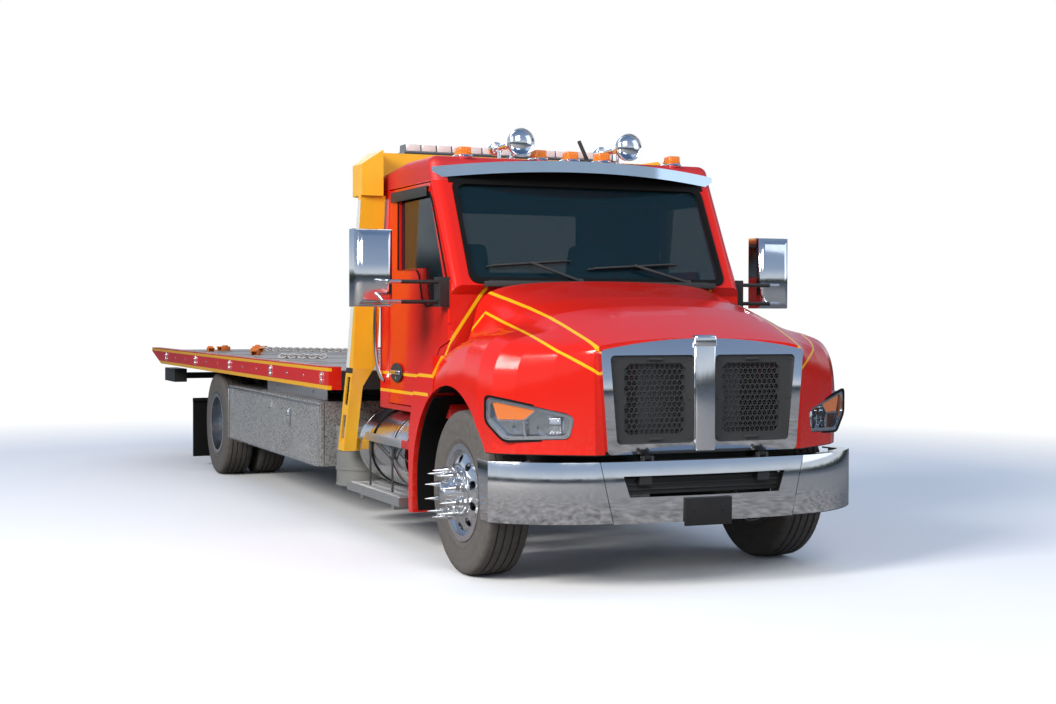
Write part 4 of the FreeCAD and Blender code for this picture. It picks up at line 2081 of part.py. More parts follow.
def wheel_lift():
    """The stowed wheel lift: boom tube, sliding arm and swivelling crossbar with its claws."""
    half, high, wall = s.lift_half_width, s.lift_half_height, s.lift_wall
    y = (back(s.lift_front), back(s.lift_back))
    low, top = s.lift_pin_height - high, s.lift_pin_height + high
    tube = block("lift_tube", (-half, half), y, (low, top))
    room_y = (y[0] - s.overrun, y[1] + s.overrun)
    room = block("lift_room", (wall - half, half - wall), room_y, (low + wall, top - wall))
    hole_start = (-half - s.overrun, back(s.lift_pin_back), s.lift_pin_height)
    hole = rod("lift_hole", s.lift_pin_radius + s.pin_gap, hole_start, (half + s.overrun) * 2, "X")
    boom = cut("lift_boom", tube, [room, hole])
    gap = wall + s.slider_gap
    slide_y = (back(s.slider_front), back(s.yaw_back) + s.yaw_radius * 2)
    arm = block("lift_slider_arm", (gap - half, half - gap), slide_y, (low + gap, top - gap))
    pin_start = (0, back(s.yaw_back), low + gap)
    pin = rod("lift_yaw_pin", s.yaw_radius, pin_start, s.bar_high - low - gap, "Z")
    slider = joined("lift_slider", [arm, pin])
    bar_y = (back(s.yaw_back) - s.bar_half_width, back(s.yaw_back) + s.bar_half_width)
    bar_low = top - gap + s.seat_gap
    bar = block("lift_bar", (-s.bar_half_length, s.bar_half_length), bar_y, (bar_low, s.bar_high))
    claw_y = (back(s.claw_front), back(s.claw_back))
    claw = block("lift_claw", (s.bar_half_length, s.claw_outer), claw_y, (s.claw_low, s.claw_high))
    yaw_start = (0, back(s.yaw_back), 0)
    yaw_bore = rod("lift_yaw_bore", s.yaw_radius + s.pin_gap, yaw_start, s.roof_peak, "Z")
    crossbar = cut("lift_crossbar", joined("lift_crossbar_solid", [bar, claw, mirrored("lift_claw_right", claw)]), [yaw_bore])
    return boom, slider, crossbar


def sub_parts():
    """Every node by its file name."""
    nodes = {}

    def keep(name, item):
        item.Label = name
        nodes[name] = item

    keep("frame_rails", frame_rails())
    keep("engine_block", engine_block())
    keep("radiator", radiator())
    keep("axles", axles())
    left_knuckle = knuckle()
    keep("knuckle_left", left_knuckle)
    keep("knuckle_right", mirrored("knuckle_right", left_knuckle))
    front = front_wheel()
    rear = rear_wheel()
    front_tyre = tyre("tyre_front_left", s.front_tyre_side, front_axle)
    outer = tyre("rear_tyre_outer", s.dual_outer_side, rear_axle)
    inner = tyre("rear_tyre_inner", s.dual_outer_side - s.dual_spacing, rear_axle)
    rear_tyres = grouped("tyres_rear_left", [outer, inner])
    for left in (front, front_tyre, rear, rear_tyres):
        keep(left.Name, left)
        right = left.Name.replace("left", "right")
        keep(right, mirrored(right, left))
    middle, wings = bumper()
    keep("bumper_centre", middle)
    keep("bumper_wings", wings)
    shell, liners = hood()
    keep("hood", shell)
    keep("hood_liners", liners)
    surround, mesh = grille()
    keep("grille_surround", surround)
    keep("grille_mesh", mesh)
    bowls, lenses = headlamps()
    keep("headlamp_bowls", bowls)
    keep("headlamp_lenses", lenses)
    for item in cab():
        keep(item.Name, item)
    door, pane, mirror = doors()
    for left in (door, pane, mirror):
        keep(left.Name, left)
        right = left.Name.replace("left", "right")
        keep(right, mirrored(right, left))
    for item in interior():
        keep(item.Name, item)
    visor, markers, horns = roof_gear()
    keep("sun_visor", visor)
    keep("air_horns", horns)
    keep("cab_arch", cab_arch())
    keep("warning_lights", grouped("warning_lights", [light_bar(), *markers]))
    tanks, steps, canister = side_gear()
    keep("fuel_tanks", tanks)
    keep("steps", steps)
    keep("canister", canister)
    boxes, box_door = toolboxes()
    keep("toolboxes", boxes)
    keep("toolbox_door_left", box_door)
    keep("toolbox_door_right", mirrored("toolbox_door_right", box_door))
    guards, quarters = wheel_guards()
    keep("splash_guards", guards)
    keep("quarter_fenders", quarters)
    keep("tilt_frame", tilt_frame())
    keep("ram_barrels", ram("ram_barrels", s.ram_barrel_radius, s.ram_bore, 0, 0.82, True))
    keep("ram_rods", ram("ram_rods", s.ram_rod_radius, None, 0.12, 1, False))
    winch_frame, drum = winch()
    frame, rails = deck(winch_frame)
    keep("deck_frame", frame)
    keep("deck_rails", rails)
    keep("winch_drum", drum)
    boom, slider, crossbar = wheel_lift()
    keep("lift_boom", boom)
    keep("lift_slider", slider)
    keep("lift_crossbar", crossbar)
    return nodes


def check(nodes):
    """Stops if any feature failed or any sub-part is empty or invalid."""
    faults = [f"{item.Name}: {item.State}" for item in doc.Objects if {"Invalid", "Error"} & set(item.State)]
    for name, item in nodes.items():
        if item.Shape.isNull() or not item.Shape.isValid() or not item.Shape.Solids:
            faults.append(f"{name}: no valid solid")
    if faults:
        raise RuntimeError("; ".join(faults))


def write(nodes):
    os.makedirs("parts", exist_ok=True)
    for name, item in nodes.items():
        item.Shape.exportStep(f"parts/{name}.step")
        print(name, len(item.Shape.Solids), round(item.Shape.Volume / 1e6, 2))


nodes = sub_parts()
doc.recompute()
check(nodes)
write(nodes)
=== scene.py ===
# %% [markdown]
# # A rollback tow truck
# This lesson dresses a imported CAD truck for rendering. The CAD model is a fixed frame: its nodes keep
# their places, get better materials, and receive the small pieces that only the eye needs, such as tyre
# tread, rivets, side lights, wipers and lamp bulbs. Lengths are in metres, X is the truck's left, Y its
# rear and Z is up.

# %% Load the frame
import math

import bmesh
import bpy
from mathutils import Matrix, Vector


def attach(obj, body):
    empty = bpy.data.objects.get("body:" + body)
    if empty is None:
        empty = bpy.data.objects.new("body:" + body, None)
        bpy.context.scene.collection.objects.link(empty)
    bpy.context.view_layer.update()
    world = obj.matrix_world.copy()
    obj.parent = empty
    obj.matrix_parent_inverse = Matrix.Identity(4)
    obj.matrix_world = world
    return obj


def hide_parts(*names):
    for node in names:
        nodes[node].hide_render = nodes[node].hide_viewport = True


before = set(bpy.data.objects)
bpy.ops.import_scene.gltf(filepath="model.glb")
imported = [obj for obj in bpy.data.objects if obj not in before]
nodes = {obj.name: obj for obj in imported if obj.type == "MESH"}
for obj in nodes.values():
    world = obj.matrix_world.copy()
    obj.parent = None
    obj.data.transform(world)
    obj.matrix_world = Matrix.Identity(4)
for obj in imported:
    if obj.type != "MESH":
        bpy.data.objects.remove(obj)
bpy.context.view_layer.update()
print("CAD nodes:", len(nodes))

# %% [markdown]
# Places along the truck are easier to read as distances behind the front axle, so one helper turns them
# into the frame's Y. The other places that several pieces share are named here too.

# %% Shared places
FRONT_AXLE = -4.42
AXLE_HEIGHT = 0.505
SIDES = {"left": 1, "right": -1}


def back(distance):
    """Y of a place from how far it lies behind the front axle."""
    return FRONT_AXLE + distance


# %% [markdown]
# The camera stands where the photographer stood: at about eye height, ahead of the truck and to its
# right. Focal length and turn come from fitting known wheels and panels to the picture.

# %% Camera
camera_data = bpy.data.cameras.new("camera")
camera = bpy.data.objects.new("camera", camera_data)
bpy.context.scene.collection.objects.link(camera)
YAW, PITCH, ROLL = math.radians(-23.098), math.radians(-1.321), math.radians(0.138)
CAMERA_PLACE = (-4.5803, -13.5104, 1.5879)
FOCAL_PIXELS, PHOTO_WIDTH, SENSOR_WIDTH = 1593.98, 1056, 36
forward = Vector((-math.sin(YAW) * math.cos(PITCH), math.cos(YAW) * math.cos(PITCH), math.sin(PITCH)))
aim = forward.to_track_quat("-Z", "Y").to_matrix().to_4x4()
camera.matrix_world = Matrix.Translation(CAMERA_PLACE) @ aim @ Matrix.Rotation(ROLL, 4, "Z")
camera_data.sensor_width = SENSOR_WIDTH
camera_data.lens = SENSOR_WIDTH * FOCAL_PIXELS / PHOTO_WIDTH
camera_data.clip_end = 200
bpy.context.scene.camera = camera
print("lens:", round(camera_data.lens, 2), "mm")

# %% [markdown]
# Shader maths reads best as plain expressions. `Value` wraps the output of a node, so that `mask * 0.5`
# adds a Math node. `Graph` makes every other node with a single method, and `Finish` is the graph of one
# material.


# %% Shader helpers
class Value:
    """The output of a shader node, with arithmetic."""

    def __init__(self, graph, socket):
        self.graph, self.socket = graph, socket

    def math(self, operation, *others):
        inputs = dict(enumerate((self, *others)))
        return self.graph.node("ShaderNodeMath", {"operation": operation}, inputs)

    def __add__(self, other):
        return self.math("ADD", other)

    def __sub__(self, other):
        return self.math("SUBTRACT", other)

    def __rsub__(self, other):
        return self * -1 + other

    def __mul__(self, other):
        return self.math("MULTIPLY", other)

    def __gt__(self, other):
        return self.math("GREATER_THAN", other)

    def __lt__(self, other):
        return self.math("LESS_THAN", other)

    def __abs__(self):
        return self.math("ABSOLUTE")

    def either(self, *others):
        """The largest of several masks at each place."""
        mask = self
        for other in others:
            mask = mask.math("MAXIMUM", other)
        return mask

    def clamp(self):
        return self.graph.node("ShaderNodeClamp", {}, {0: self})


class Graph:
    """A tree of shader nodes, of a material or of the world."""

    def __init__(self, owner):
        owner.use_nodes = True
        self.tree = owner.node_tree

    def node(self, kind, settings, inputs, output=0):
        """Adds a node: its settings first, then the values or links of its inputs."""
        made = self.tree.nodes.new(kind)
        for key, setting in settings.items():
            setattr(made, key, setting)
        for key, value in inputs.items():
            if isinstance(value, Value):
                self.tree.links.new(value.socket, made.inputs[key])
            else:
                made.inputs[key].default_value = value
        return Value(self, made.outputs[output])

    def mix(self, mask, low, high):
        """Blends two colours by a mask."""
        low, high = ((*colour, 1) if isinstance(colour, tuple) else colour for colour in (low, high))
        inputs = {"Factor": mask, 6: low, 7: high}
        return self.node("ShaderNodeMix", {"data_type": "RGBA", "clamp_factor": True}, inputs, 2)

    def step(self, value, low, high):
        """0 below low, 1 above high and a soft slope between."""
        inputs = {"Value": value, "From Min": low, "From Max": high}
        return self.node("ShaderNodeMapRange", {"clamp": True}, inputs)


class Finish(Graph):
    """One node-based material on object coordinates."""

    def __init__(self, name):
        self.material = bpy.data.materials.new(name)
        super().__init__(self.material)
        self.shader = self.tree.nodes["Principled BSDF"]
        self.place = self.node("ShaderNodeTexCoord", {}, {}, "Object")
        split = self.tree.nodes.new("ShaderNodeSeparateXYZ")
        self.tree.links.new(self.place.socket, split.inputs[0])
        self.x, self.y, self.z = (Value(self, split.outputs[axis]) for axis in "XYZ")

    def noise(self, scale, detail=4.0, rough=0.55, stretch=None):
        """Noise from about 0 to 1. Stretch squeezes it along the axes."""
        at = self.place
        if stretch:
            at = self.node("ShaderNodeMapping", {}, {"Vector": at, "Scale": stretch})
        inputs = {"Vector": at, "Scale": scale, "Detail": detail, "Roughness": rough}
        return self.node("ShaderNodeTexNoise", {}, inputs, "Fac")

    def bump(self, height, strength, distance):
        """A normal bent by a height; distance is the height's unit in metres."""
        inputs = {"Height": height, "Strength": strength, "Distance": distance}
        return self.node("ShaderNodeBump", {}, inputs)

    def set(self, **sockets):
        """Sets the shader's sockets; Base_Color stands for Base Color."""
        for key, value in sockets.items():
            socket = self.shader.inputs[key.replace("_", " ")]
            if isinstance(value, Value):
                self.tree.links.new(value.socket, socket)
            else:
                socket.default_value = value


def shaded(colour, share):
    """A colour made darker or lighter."""
    return tuple(part * share for part in colour)


# %% [markdown]
# The body colour is a gloss red under clear lacquer. Real paint is never quite flat: a fine ripple bends
# reflections, and road dust gathers low on the panels. The yellow pinstripes follow the hood's shoulder
# and then fall across the door, so they are drawn as lines in the side view, in the paint itself.


# %% Paints
RED = (0.68, 0.016, 0.008)
YELLOW = (0.90, 0.46, 0.010)
CHROME = (0.82, 0.83, 0.85)
COAL = (0.013, 0.013, 0.014)


def band(finish, value, middle, half):
    """A stripe mask: 1 where the value is within half of the middle."""
    return finish.step(abs(value - middle), half, half * 0.75)


def gloss_paint(name, colour, stripes=None, dark=None):
    """Lacquered paint with orange peel, a little dust low down, optional stripes and optional dark parts."""
    paint = Finish(name)
    cloud = paint.noise(1.3, 3)
    base = paint.mix(cloud * 0.5, colour, shaded(colour, 0.86))
    if stripes:
        base = paint.mix(stripes(paint), base, YELLOW)
    grit = paint.noise(34, 6, 0.7)
    dust = (paint.step(paint.z, 1.1, 0.35) * paint.step(grit, 0.45, 0.75) * 0.22).clamp()
    base = paint.mix(dust, base, (0.30, 0.27, 0.24))
    if dark:
        base = paint.mix(dark(paint), base, (0.012, 0.012, 0.012))
    peel = paint.bump(paint.noise(420, 1), 0.05, 0.0004)
    paint.set(Base_Color=base, Roughness=dust * 0.9 + 0.16, Normal=peel)
    paint.set(Coat_Weight=0.22, Coat_Roughness=0.03, Specular_IOR_Level=0.28)


def hood_stripes(paint):
    """Two lines from the grille's corner to the cowl: one on the shoulder, one on the hood's side."""
    y = paint.y - FRONT_AXLE
    upper = band(paint, abs(paint.x) - y * 0.119, 0.783, 0.013) * (paint.z > 1.385)
    rise = (y + 0.79).math("MAXIMUM", 0.0)
    lower = band(paint, paint.z - abs(paint.x) * 0.65 - rise * 0.193, 0.825, 0.011)
    lower = lower * (abs(paint.x) > 0.66) * (y < 0.237) * (paint.z > 1.25)
    fall = band(paint, paint.z + (y - 0.233) * 0.94, 1.600, 0.015) * (y > 0.237)
    return upper.either(lower, fall)


def hood_dark(paint):
    """The hood's hem and its hinge arms, which are black."""
    return (paint.z < 0.7925).either((paint.z < 0.86) * (abs(paint.x) < 0.62))


def cab_stripes(paint):
    """The same two lines: down the cab's front corner, then level along the fender and the door."""
    y = paint.y - FRONT_AXLE
    side = abs(paint.x)
    corner = band(paint, paint.z + side * 1.447, 2.943, 0.022) * (y < 0.4605)
    corner = corner * (side > 0.81) * (side < 1.049)
    drop = band(paint, paint.z + (y - 0.474) * 0.964, 1.393, 0.017) * (y < 0.72) * (side > 1.0485)
    fender = band(paint, paint.z + side * 1.83, 3.410, 0.024) * (y < 0.3525) * (side > 1.05)
    outer = side > 1.10
    high = band(paint, paint.z - outer * 0.026, 1.177, 0.012) * (y > 0.3525) * (side > 1.0485)
    low = band(paint, paint.z - outer * 0.030, 1.052, 0.012) * (y > 0.44) * (side > 1.0485)
    above = paint.z > 1.19
    return corner.either(drop * above, fender * above, high, low)


def deck_stripes(paint):
    """The deck rail's yellow stripes along the top and bottom of its outer face."""
    low = band(paint, paint.z, 1.043, 0.018)
    high = band(paint, paint.z, 1.178, 0.014)
    return low.either(high) * (abs(paint.x) > 1.27)


gloss_paint("red_paint", RED)
gloss_paint("hood_paint", RED, hood_stripes, hood_dark)
gloss_paint("door_paint", RED, cab_stripes)
gloss_paint("deck_paint", RED, deck_stripes)
print("paints:", len(bpy.data.materials))

# %% [markdown]
# Bright metal differs mostly in how clean its mirror is. Chrome stays sharp with faint grime, the wheels
# and steps carry fine scratches, and the tanks' sheet is slightly wavy. Frame steel and plastic are satin.


# %% Metals
def bright_metal(name, colour, rough, scratch, wave=0.0, grime=0.25):
    """A polished metal with scratches, a gentle wave and road film low down."""
    metal = Finish(name)
    film = metal.noise(9, 6, 0.65)
    low = metal.step(metal.z, 0.95, 0.3)
    dirt = (metal.step(film, 0.42, 0.8) * (low * 0.7 + 0.3) * grime).clamp()
    base = metal.mix(dirt, colour, shaded(colour, 0.5))
    fine = metal.noise(900, 2, 0.5, (1.0, 0.04, 1.0))
    height = fine * scratch + metal.noise(5, 2) * wave
    metal.set(Base_Color=base, Metallic=1.0, Roughness=dirt * 0.45 + fine * scratch * 0.2 + rough)
    metal.set(Normal=metal.bump(height, 0.3, 0.002))


for finish_name, colour, *feel in (
    ("chrome", CHROME, 0.04, 0.02, 0.10, 0.2),
    ("wheel_metal", (0.78, 0.79, 0.81), 0.14, 0.12, 0.0, 0.35),
    ("sheet_metal", (0.80, 0.80, 0.80), 0.18, 0.10, 0.7, 0.35),
    # The visor's chrome is tinted blue as a painted reflection of the sky.
    ("visor_metal", (0.40, 0.50, 0.62), 0.08, 0.02, 0.1, 0.1),
    ("rod_metal", (0.70, 0.70, 0.72), 0.10, 0.05),
    ("dull_metal", (0.33, 0.34, 0.35), 0.42, 0.3, 0.2, 0.8),
    ("alloy", (0.74, 0.74, 0.73), 0.34, 0.25, 0.3, 0.35),
    ("lamp_chrome", (0.62, 0.65, 0.69), 0.10, 0.02, 1.2, 0.0),
):
    bright_metal(finish_name, colour, *feel)


def chassis_paint(name, colour, rough=0.45, rust=0.35):
    """Satin paint on frame steel with dust and small patches of rust."""
    paint = Finish(name)
    patch = paint.noise(7, 8, 0.7)
    spots = (paint.step(patch, 0.60, 0.74) * rust).clamp()
    film = paint.noise(3, 5)
    base = paint.mix(film * 0.45, colour, tuple(part * 1.6 + 0.015 for part in colour))
    base = paint.mix(spots, base, (0.16, 0.065, 0.03))
    paint.set(Base_Color=base, Roughness=spots * 0.4 + film * 0.15 + rough)
    paint.set(Normal=paint.bump(paint.noise(60, 5), 0.25, 0.001))


chassis_paint("frame_black", (0.018, 0.018, 0.019))
chassis_paint("cast_grey", (0.16, 0.165, 0.17), 0.6)
chassis_paint("drum_grey", (0.30, 0.31, 0.32), 0.4, 0.5)
chassis_paint("canister_grey", (0.17, 0.172, 0.165), 0.35, 0.25)


def moulded(name, colour, rough, grain=260.0):
    """Moulded plastic or rubber with a fine grain."""
    part = Finish(name)
    tone = part.noise(5, 4)
    base = part.mix(tone * 0.6, colour, tuple(level * 1.5 + 0.006 for level in colour))
    part.set(Base_Color=base, Roughness=tone * 0.12 + rough)
    part.set(Normal=part.bump(part.noise(grain, 3), 0.22, 0.0008), Specular_IOR_Level=0.12)


moulded("black_plastic", (0.008, 0.008, 0.009), 0.48)
moulded("trim_rubber", (0.004, 0.004, 0.004), 0.62, 120)
moulded("strap_orange", (0.62, 0.16, 0.03), 0.55, 90)
moulded("chain_steel", (0.42, 0.40, 0.39), 0.35, 60)
moulded("grey_trim", (0.075, 0.075, 0.08), 0.62)
print("metals and plastics ready:", len(bpy.data.materials))

# %% [markdown]
# Tyre rubber is charcoal rather than black, with pale road dust over it. Glass is a dark tint that lets
# part of the light through; smears show only in its roughness. Lamp lenses have moulded flutes.


# %% Rubber, glass and lenses
def tyre_rubber():
    """Dusty charcoal rubber."""
    rubber = Finish("tyre_rubber")
    dust = rubber.noise(26, 6, 0.7)
    base = rubber.mix(dust * 0.85, (0.050, 0.046, 0.042), (0.190, 0.172, 0.155))
    rubber.set(Base_Color=base, Roughness=dust * 0.15 + 0.72)
    rubber.set(Normal=rubber.bump(rubber.noise(300, 4), 0.3, 0.0008))


def clear_glass(name, colour, alpha):
    """Thin glass: mostly see-through, tinted, with smears that only show in the roughness."""
    glass = Finish(name)
    smear = glass.noise(6, 5, 0.7)
    tint = glass.mix(smear * 0.25, colour, shaded(colour, 0.8))
    glass.set(Base_Color=tint, Roughness=smear * 0.05 + 0.02, Alpha=alpha, IOR=1.45)
    glass.set(Coat_Weight=0.3, Coat_Roughness=0.02)


def lit_plastic(name, colour, ribs=90.0):
    """A coloured lamp lens with moulded flutes."""
    lens = Finish(name)
    flute = lens.node("ShaderNodeTexWave", {"bands_direction": "Z"},
                      {"Vector": lens.place, "Scale": ribs, "Distortion": 0.0}, "Fac")
    base = lens.mix(flute * 0.5, colour, shaded(colour, 0.7))
    lens.set(Base_Color=base, Roughness=0.14, Normal=lens.bump(flute, 0.25, 0.001))
    lens.set(Coat_Weight=0.7, Emission_Color=base, Emission_Strength=0.12)


tyre_rubber()
clear_glass("cab_glass_tint", (0.002, 0.018, 0.025), 0.60)
clear_glass("lens_clear", (0.22, 0.25, 0.28), 0.07)
lit_plastic("amber_lens", (0.85, 0.20, 0.01))
lit_plastic("red_lens", (0.55, 0.01, 0.01))
lit_plastic("beacon_pale", (0.72, 0.62, 0.60), 30)
lit_plastic("reflector_pale", (0.80, 0.82, 0.84), 60)
print("rubber, glass and lenses ready:", len(bpy.data.materials))

# %% [markdown]
# Some CAD nodes carry two finishes, such as a chrome bumper with its black bracket. A mask of the place
# on the node divides them, so the mesh stays whole. The toolboxes' sheet has a speckle that is a painted
# reflection of the gravel.

# %% Divided finishes
GRAIN_HEIGHT = 0.00005


def sheet_with_painted_gravel(dark, light):
    """Brushed sheet that has gone dull, with a speckle in its colour that is a painted reflection of the
    gravel before it.
    """
    sheet = Finish("box_metal")
    painted_gravel_speckle = sheet.step(sheet.noise(60, 5, 0.85, (1.0, 0.6, 1.0)), 0.36, 0.64)
    cloud = sheet.step(sheet.noise(3, 3), 0.3, 0.7)
    base = sheet.mix(painted_gravel_speckle, dark, light)
    base = sheet.mix(cloud * 0.25, base, light)
    sheet.set(Base_Color=base, Metallic=0.65, Roughness=painted_gravel_speckle * 0.12 + 0.24)
    sheet.set(Normal=sheet.bump(sheet.noise(4, 2), 0.3, 0.0014))


def two_finishes(name, mask_of, low, high, metal=0.0, rough=0.28, dark=None, crown=None):
    """Two colours on one node, divided by a mask of the place; metal is for the low side.

    Dark is a second mask, for black. Crown is a height and an amount: the shading bends as on a panel
    that is bowed about that height.
    """
    part = Finish(name)
    mask = mask_of(part)
    film = part.noise(8, 6, 0.65)
    base = part.mix(mask, low, high)
    if dark:
        base = part.mix(dark(part), base, (0.014, 0.014, 0.012))
    base = part.mix(film * 0.16, base, (0.12, 0.11, 0.10))
    part.set(Base_Color=base, Roughness=film * 0.14 + mask * (0.4 - rough) + rough)
    height = part.noise(70, 3) * GRAIN_HEIGHT
    if crown:
        offset = part.z - crown[0]
        height = height - offset * offset * crown[1]
    part.set(Metallic=(1 - mask) * metal, Normal=part.bump(height, 1.0, 1.0))


def arch_panels(part):
    """White panels on the outer face of the arch's legs, above the foot band."""
    run = part.y - FRONT_AXLE - (2.46 - part.z) * 0.247
    inside = part.step(run, 1.70, 1.704) * part.step(run, 1.790, 1.786)
    return inside * (abs(part.x) > 1.2490) * (part.z > 1.205) * (part.z < 2.40)


def arch_band(part):
    """The dark band round the foot of each panel."""
    return (abs(part.x) > 1.2490) * (part.z > 1.166) * (part.z < 1.205)


def bumper_plate(part):
    """The black plate bracket on the chrome bumper's middle, and the stays behind its skin."""
    bracket = (abs(part.x) < 0.154) * (part.z < 0.5355) * (part.y < back(-1.0))
    return bracket.either((abs(part.x) < 0.445) * (part.y > back(-0.9985)))


def low_hem(part):
    """The dark hem under the bumper's wings. The grille has nothing so low."""
    return part.z < 0.404


def mirror_arms(part):
    """The foot and the arms, inboard and ahead of the mirror's shell."""
    return (abs(part.x) < 1.357).either(part.y < back(0.507))


def marker_lens(part):
    """The upper part of the roof markers, ahead of the light bar."""
    return (part.y < back(1.2)) * (part.z > 2.6525)


def deck_top(part):
    """The worn top of the deck, and what stands on it."""
    return part.z > 1.165


def cloth():
    """Woven seat cloth: two crossed waves make the threads."""
    weave = Finish("seat_cloth")
    waves = {"Vector": weave.place, "Scale": 160.0}
    across, along = (weave.node("ShaderNodeTexWave", {"bands_direction": way}, waves, "Fac") for way in "XZ")
    thread = across * along
    tone = weave.noise(12, 4)
    base = weave.mix(thread, (0.035, 0.035, 0.04), (0.085, 0.085, 0.092))
    base = weave.mix(tone * 0.4, base, (0.05, 0.05, 0.055))
    weave.set(Base_Color=base, Roughness=0.9, Normal=weave.bump(thread, 0.4, 0.0008), Sheen_Weight=0.25)


cloth()
sheet_with_painted_gravel((0.20, 0.195, 0.19), (0.80, 0.79, 0.77))
two_finishes("arch_paint", arch_panels, YELLOW, (0.72, 0.72, 0.68), dark=arch_band)
for finish_name, mask_of, crown in (
    ("bumper_chrome", bumper_plate, (0.62, 0.9)),
    ("mirror_chrome", mirror_arms, (1.84, 0.8)),
    ("grille_chrome", low_hem, (1.14, 0.9)),
    ("wing_chrome", low_hem, (0.62, 0.9)),
):
    two_finishes(finish_name, mask_of, CHROME, COAL, 1.0, 0.03, crown=crown)
two_finishes("warning_lenses", marker_lens, (0.30, 0.30, 0.31), (0.86, 0.26, 0.01), 0.9, 0.2)
two_finishes("deck_steel", deck_top, (0.020, 0.020, 0.021), (0.135, 0.115, 0.100), 0.3, 0.5)
print("finishes:", len(bpy.data.materials))

# %% [markdown]
# Every CAD node keeps its shape and only changes its material, so one table says which finish goes on
# which node.

# %% Dress the CAD nodes
FINISHES = {
    "red_paint": ["cab_floor", "cab_roof"],
    "door_paint": ["door_left", "door_right", "cab_sides", "cab_end_walls", "quarter_fenders"],
    "hood_paint": ["hood"],
    "arch_paint": ["cab_arch"],
    "wing_chrome": ["bumper_wings"],
    "grille_chrome": ["grille_surround"],
    "chrome": ["air_horns"],
    "visor_metal": ["sun_visor"],
    "bumper_chrome": ["bumper_centre"],
    "mirror_chrome": ["mirror_left", "mirror_right"],
    "wheel_metal": ["wheel_front_left", "wheel_front_right", "wheels_rear_left", "wheels_rear_right"],
    "sheet_metal": ["fuel_tanks"],
    "box_metal": ["toolboxes", "toolbox_door_left", "toolbox_door_right"],
    "rod_metal": ["ram_rods"],
    "dull_metal": ["radiator"],
    "alloy": ["steps"],
    "lamp_chrome": ["headlamp_bowls"],
    "frame_black": [
        "frame_rails", "axles", "knuckle_left", "knuckle_right", "tilt_frame", "ram_barrels",
        "lift_boom", "lift_slider", "lift_crossbar",
    ],
    "cast_grey": ["engine_block"],
    "drum_grey": ["winch_drum"],
    "canister_grey": ["canister"],
    "black_plastic": ["grille_mesh", "steering_wheel"],
    "trim_rubber": ["hood_liners", "splash_guards"],
    "grey_trim": ["dashboard"],
    "tyre_rubber": ["tyre_front_left", "tyre_front_right", "tyres_rear_left", "tyres_rear_right"],
    "cab_glass_tint": ["cab_glass", "door_glass_left", "door_glass_right"],
    "lens_clear": ["headlamp_lenses"],
    "warning_lenses": ["warning_lights"],
    "deck_steel": ["deck_frame"],
    "seat_cloth": ["seat_cushions", "seat_backs"],
    "deck_paint": ["deck_rails"],
}

for finish_name, node_names in FINISHES.items():
    for node_name in node_names:
        mesh = nodes[node_name].data
        mesh.materials.clear()
        mesh.materials.append(bpy.data.materials[finish_name])
bare = sorted(set(nodes) - {name for names in FINISHES.values() for name in names})
print("nodes with no finish yet:", bare)

# %% [markdown]
# A new piece starts as a bmesh, takes a material, and rides on the body that carries it. `keep` does the
# bookkeeping. Edges sharper than 35 degrees stay crisp and the rest shade smoothly.


# %% Piece helpers
def merged(*parts):
    """One bmesh from several."""
    whole = bmesh.new()
    for part in parts:
        data = bpy.data.meshes.new("part")
        part.to_mesh(data)
        part.free()
        whole.from_mesh(data)
        bpy.data.meshes.remove(data)
    return whole


def keep(name, mesh, material, body, replaced=(), sharp=35):
    """Turns a bmesh into a finished piece of the truck."""
    bmesh.ops.recalc_face_normals(mesh, faces=mesh.faces)
    data = bpy.data.meshes.new(name)
    mesh.to_mesh(data)
    mesh.free()
    data.materials.append(bpy.data.materials[material])
    data.shade_smooth()
    data.set_sharp_from_angle(angle=math.radians(sharp))
    piece = bpy.data.objects.new(name, data)
    bpy.context.scene.collection.objects.link(piece)
    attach(piece, body)
    if replaced:
        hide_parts(*replaced)
    return piece


def block(low, high, edge=0.0, segments=2):
    """A box between two corners, with rounded edges."""
    part = bmesh.new()
    bmesh.ops.create_cube(part, size=1.0)
    low, high = Vector(low), Vector(high)
    bmesh.ops.scale(part, vec=high - low, verts=part.verts)
    if edge:
        bmesh.ops.bevel(part, geom=part.edges, offset=edge, segments=segments, profile=0.5, affect="EDGES",
                        material=-1)
    bmesh.ops.translate(part, vec=(low + high) / 2, verts=part.verts)
    return part


AXIS_TURNS = {
    "X": Matrix.Rotation(math.radians(90), 3, "Y"),
    "Y": Matrix.Rotation(math.radians(-90), 3, "X"),
    "Z": Matrix.Identity(3),
}


def rod(centre, radius, length, axis, segments=24, end_radius=None, edge=0.0):
    """A cylinder or cone centred on a point, along one axis, with rounded rims."""
    part = bmesh.new()
    bmesh.ops.create_cone(part, cap_ends=True, segments=segments, radius1=radius,
                          radius2=radius if end_radius is None else end_radius, depth=length)
    if edge:
        rims = [e for e in part.edges if abs(e.verts[0].co.z - e.verts[1].co.z) < 1e-6]
        bmesh.ops.bevel(part, geom=rims, offset=edge, segments=2, profile=0.5, affect="EDGES", material=-1)
    bmesh.ops.rotate(part, cent=(0, 0, 0), matrix=AXIS_TURNS[axis], verts=part.verts)
    bmesh.ops.translate(part, vec=centre, verts=part.verts)
    return part


def dome(centre, radius, squash=(1, 1, 1), segments=20):
    """A flattened ball."""
    part = bmesh.new()
    bmesh.ops.create_uvsphere(part, u_segments=segments, v_segments=segments // 2, radius=radius)
    bmesh.ops.scale(part, vec=squash, verts=part.verts)
    bmesh.ops.translate(part, vec=centre, verts=part.verts)
    return part


def thickened(part, step):
    """Gives a sheet its thickness, along a step."""
    made = bmesh.ops.extrude_face_region(part, geom=list(part.faces), use_keep_orig=True)["geom"]
    bmesh.ops.translate(part, vec=step, verts=[v for v in made if isinstance(v, bmesh.types.BMVert)])
    return part


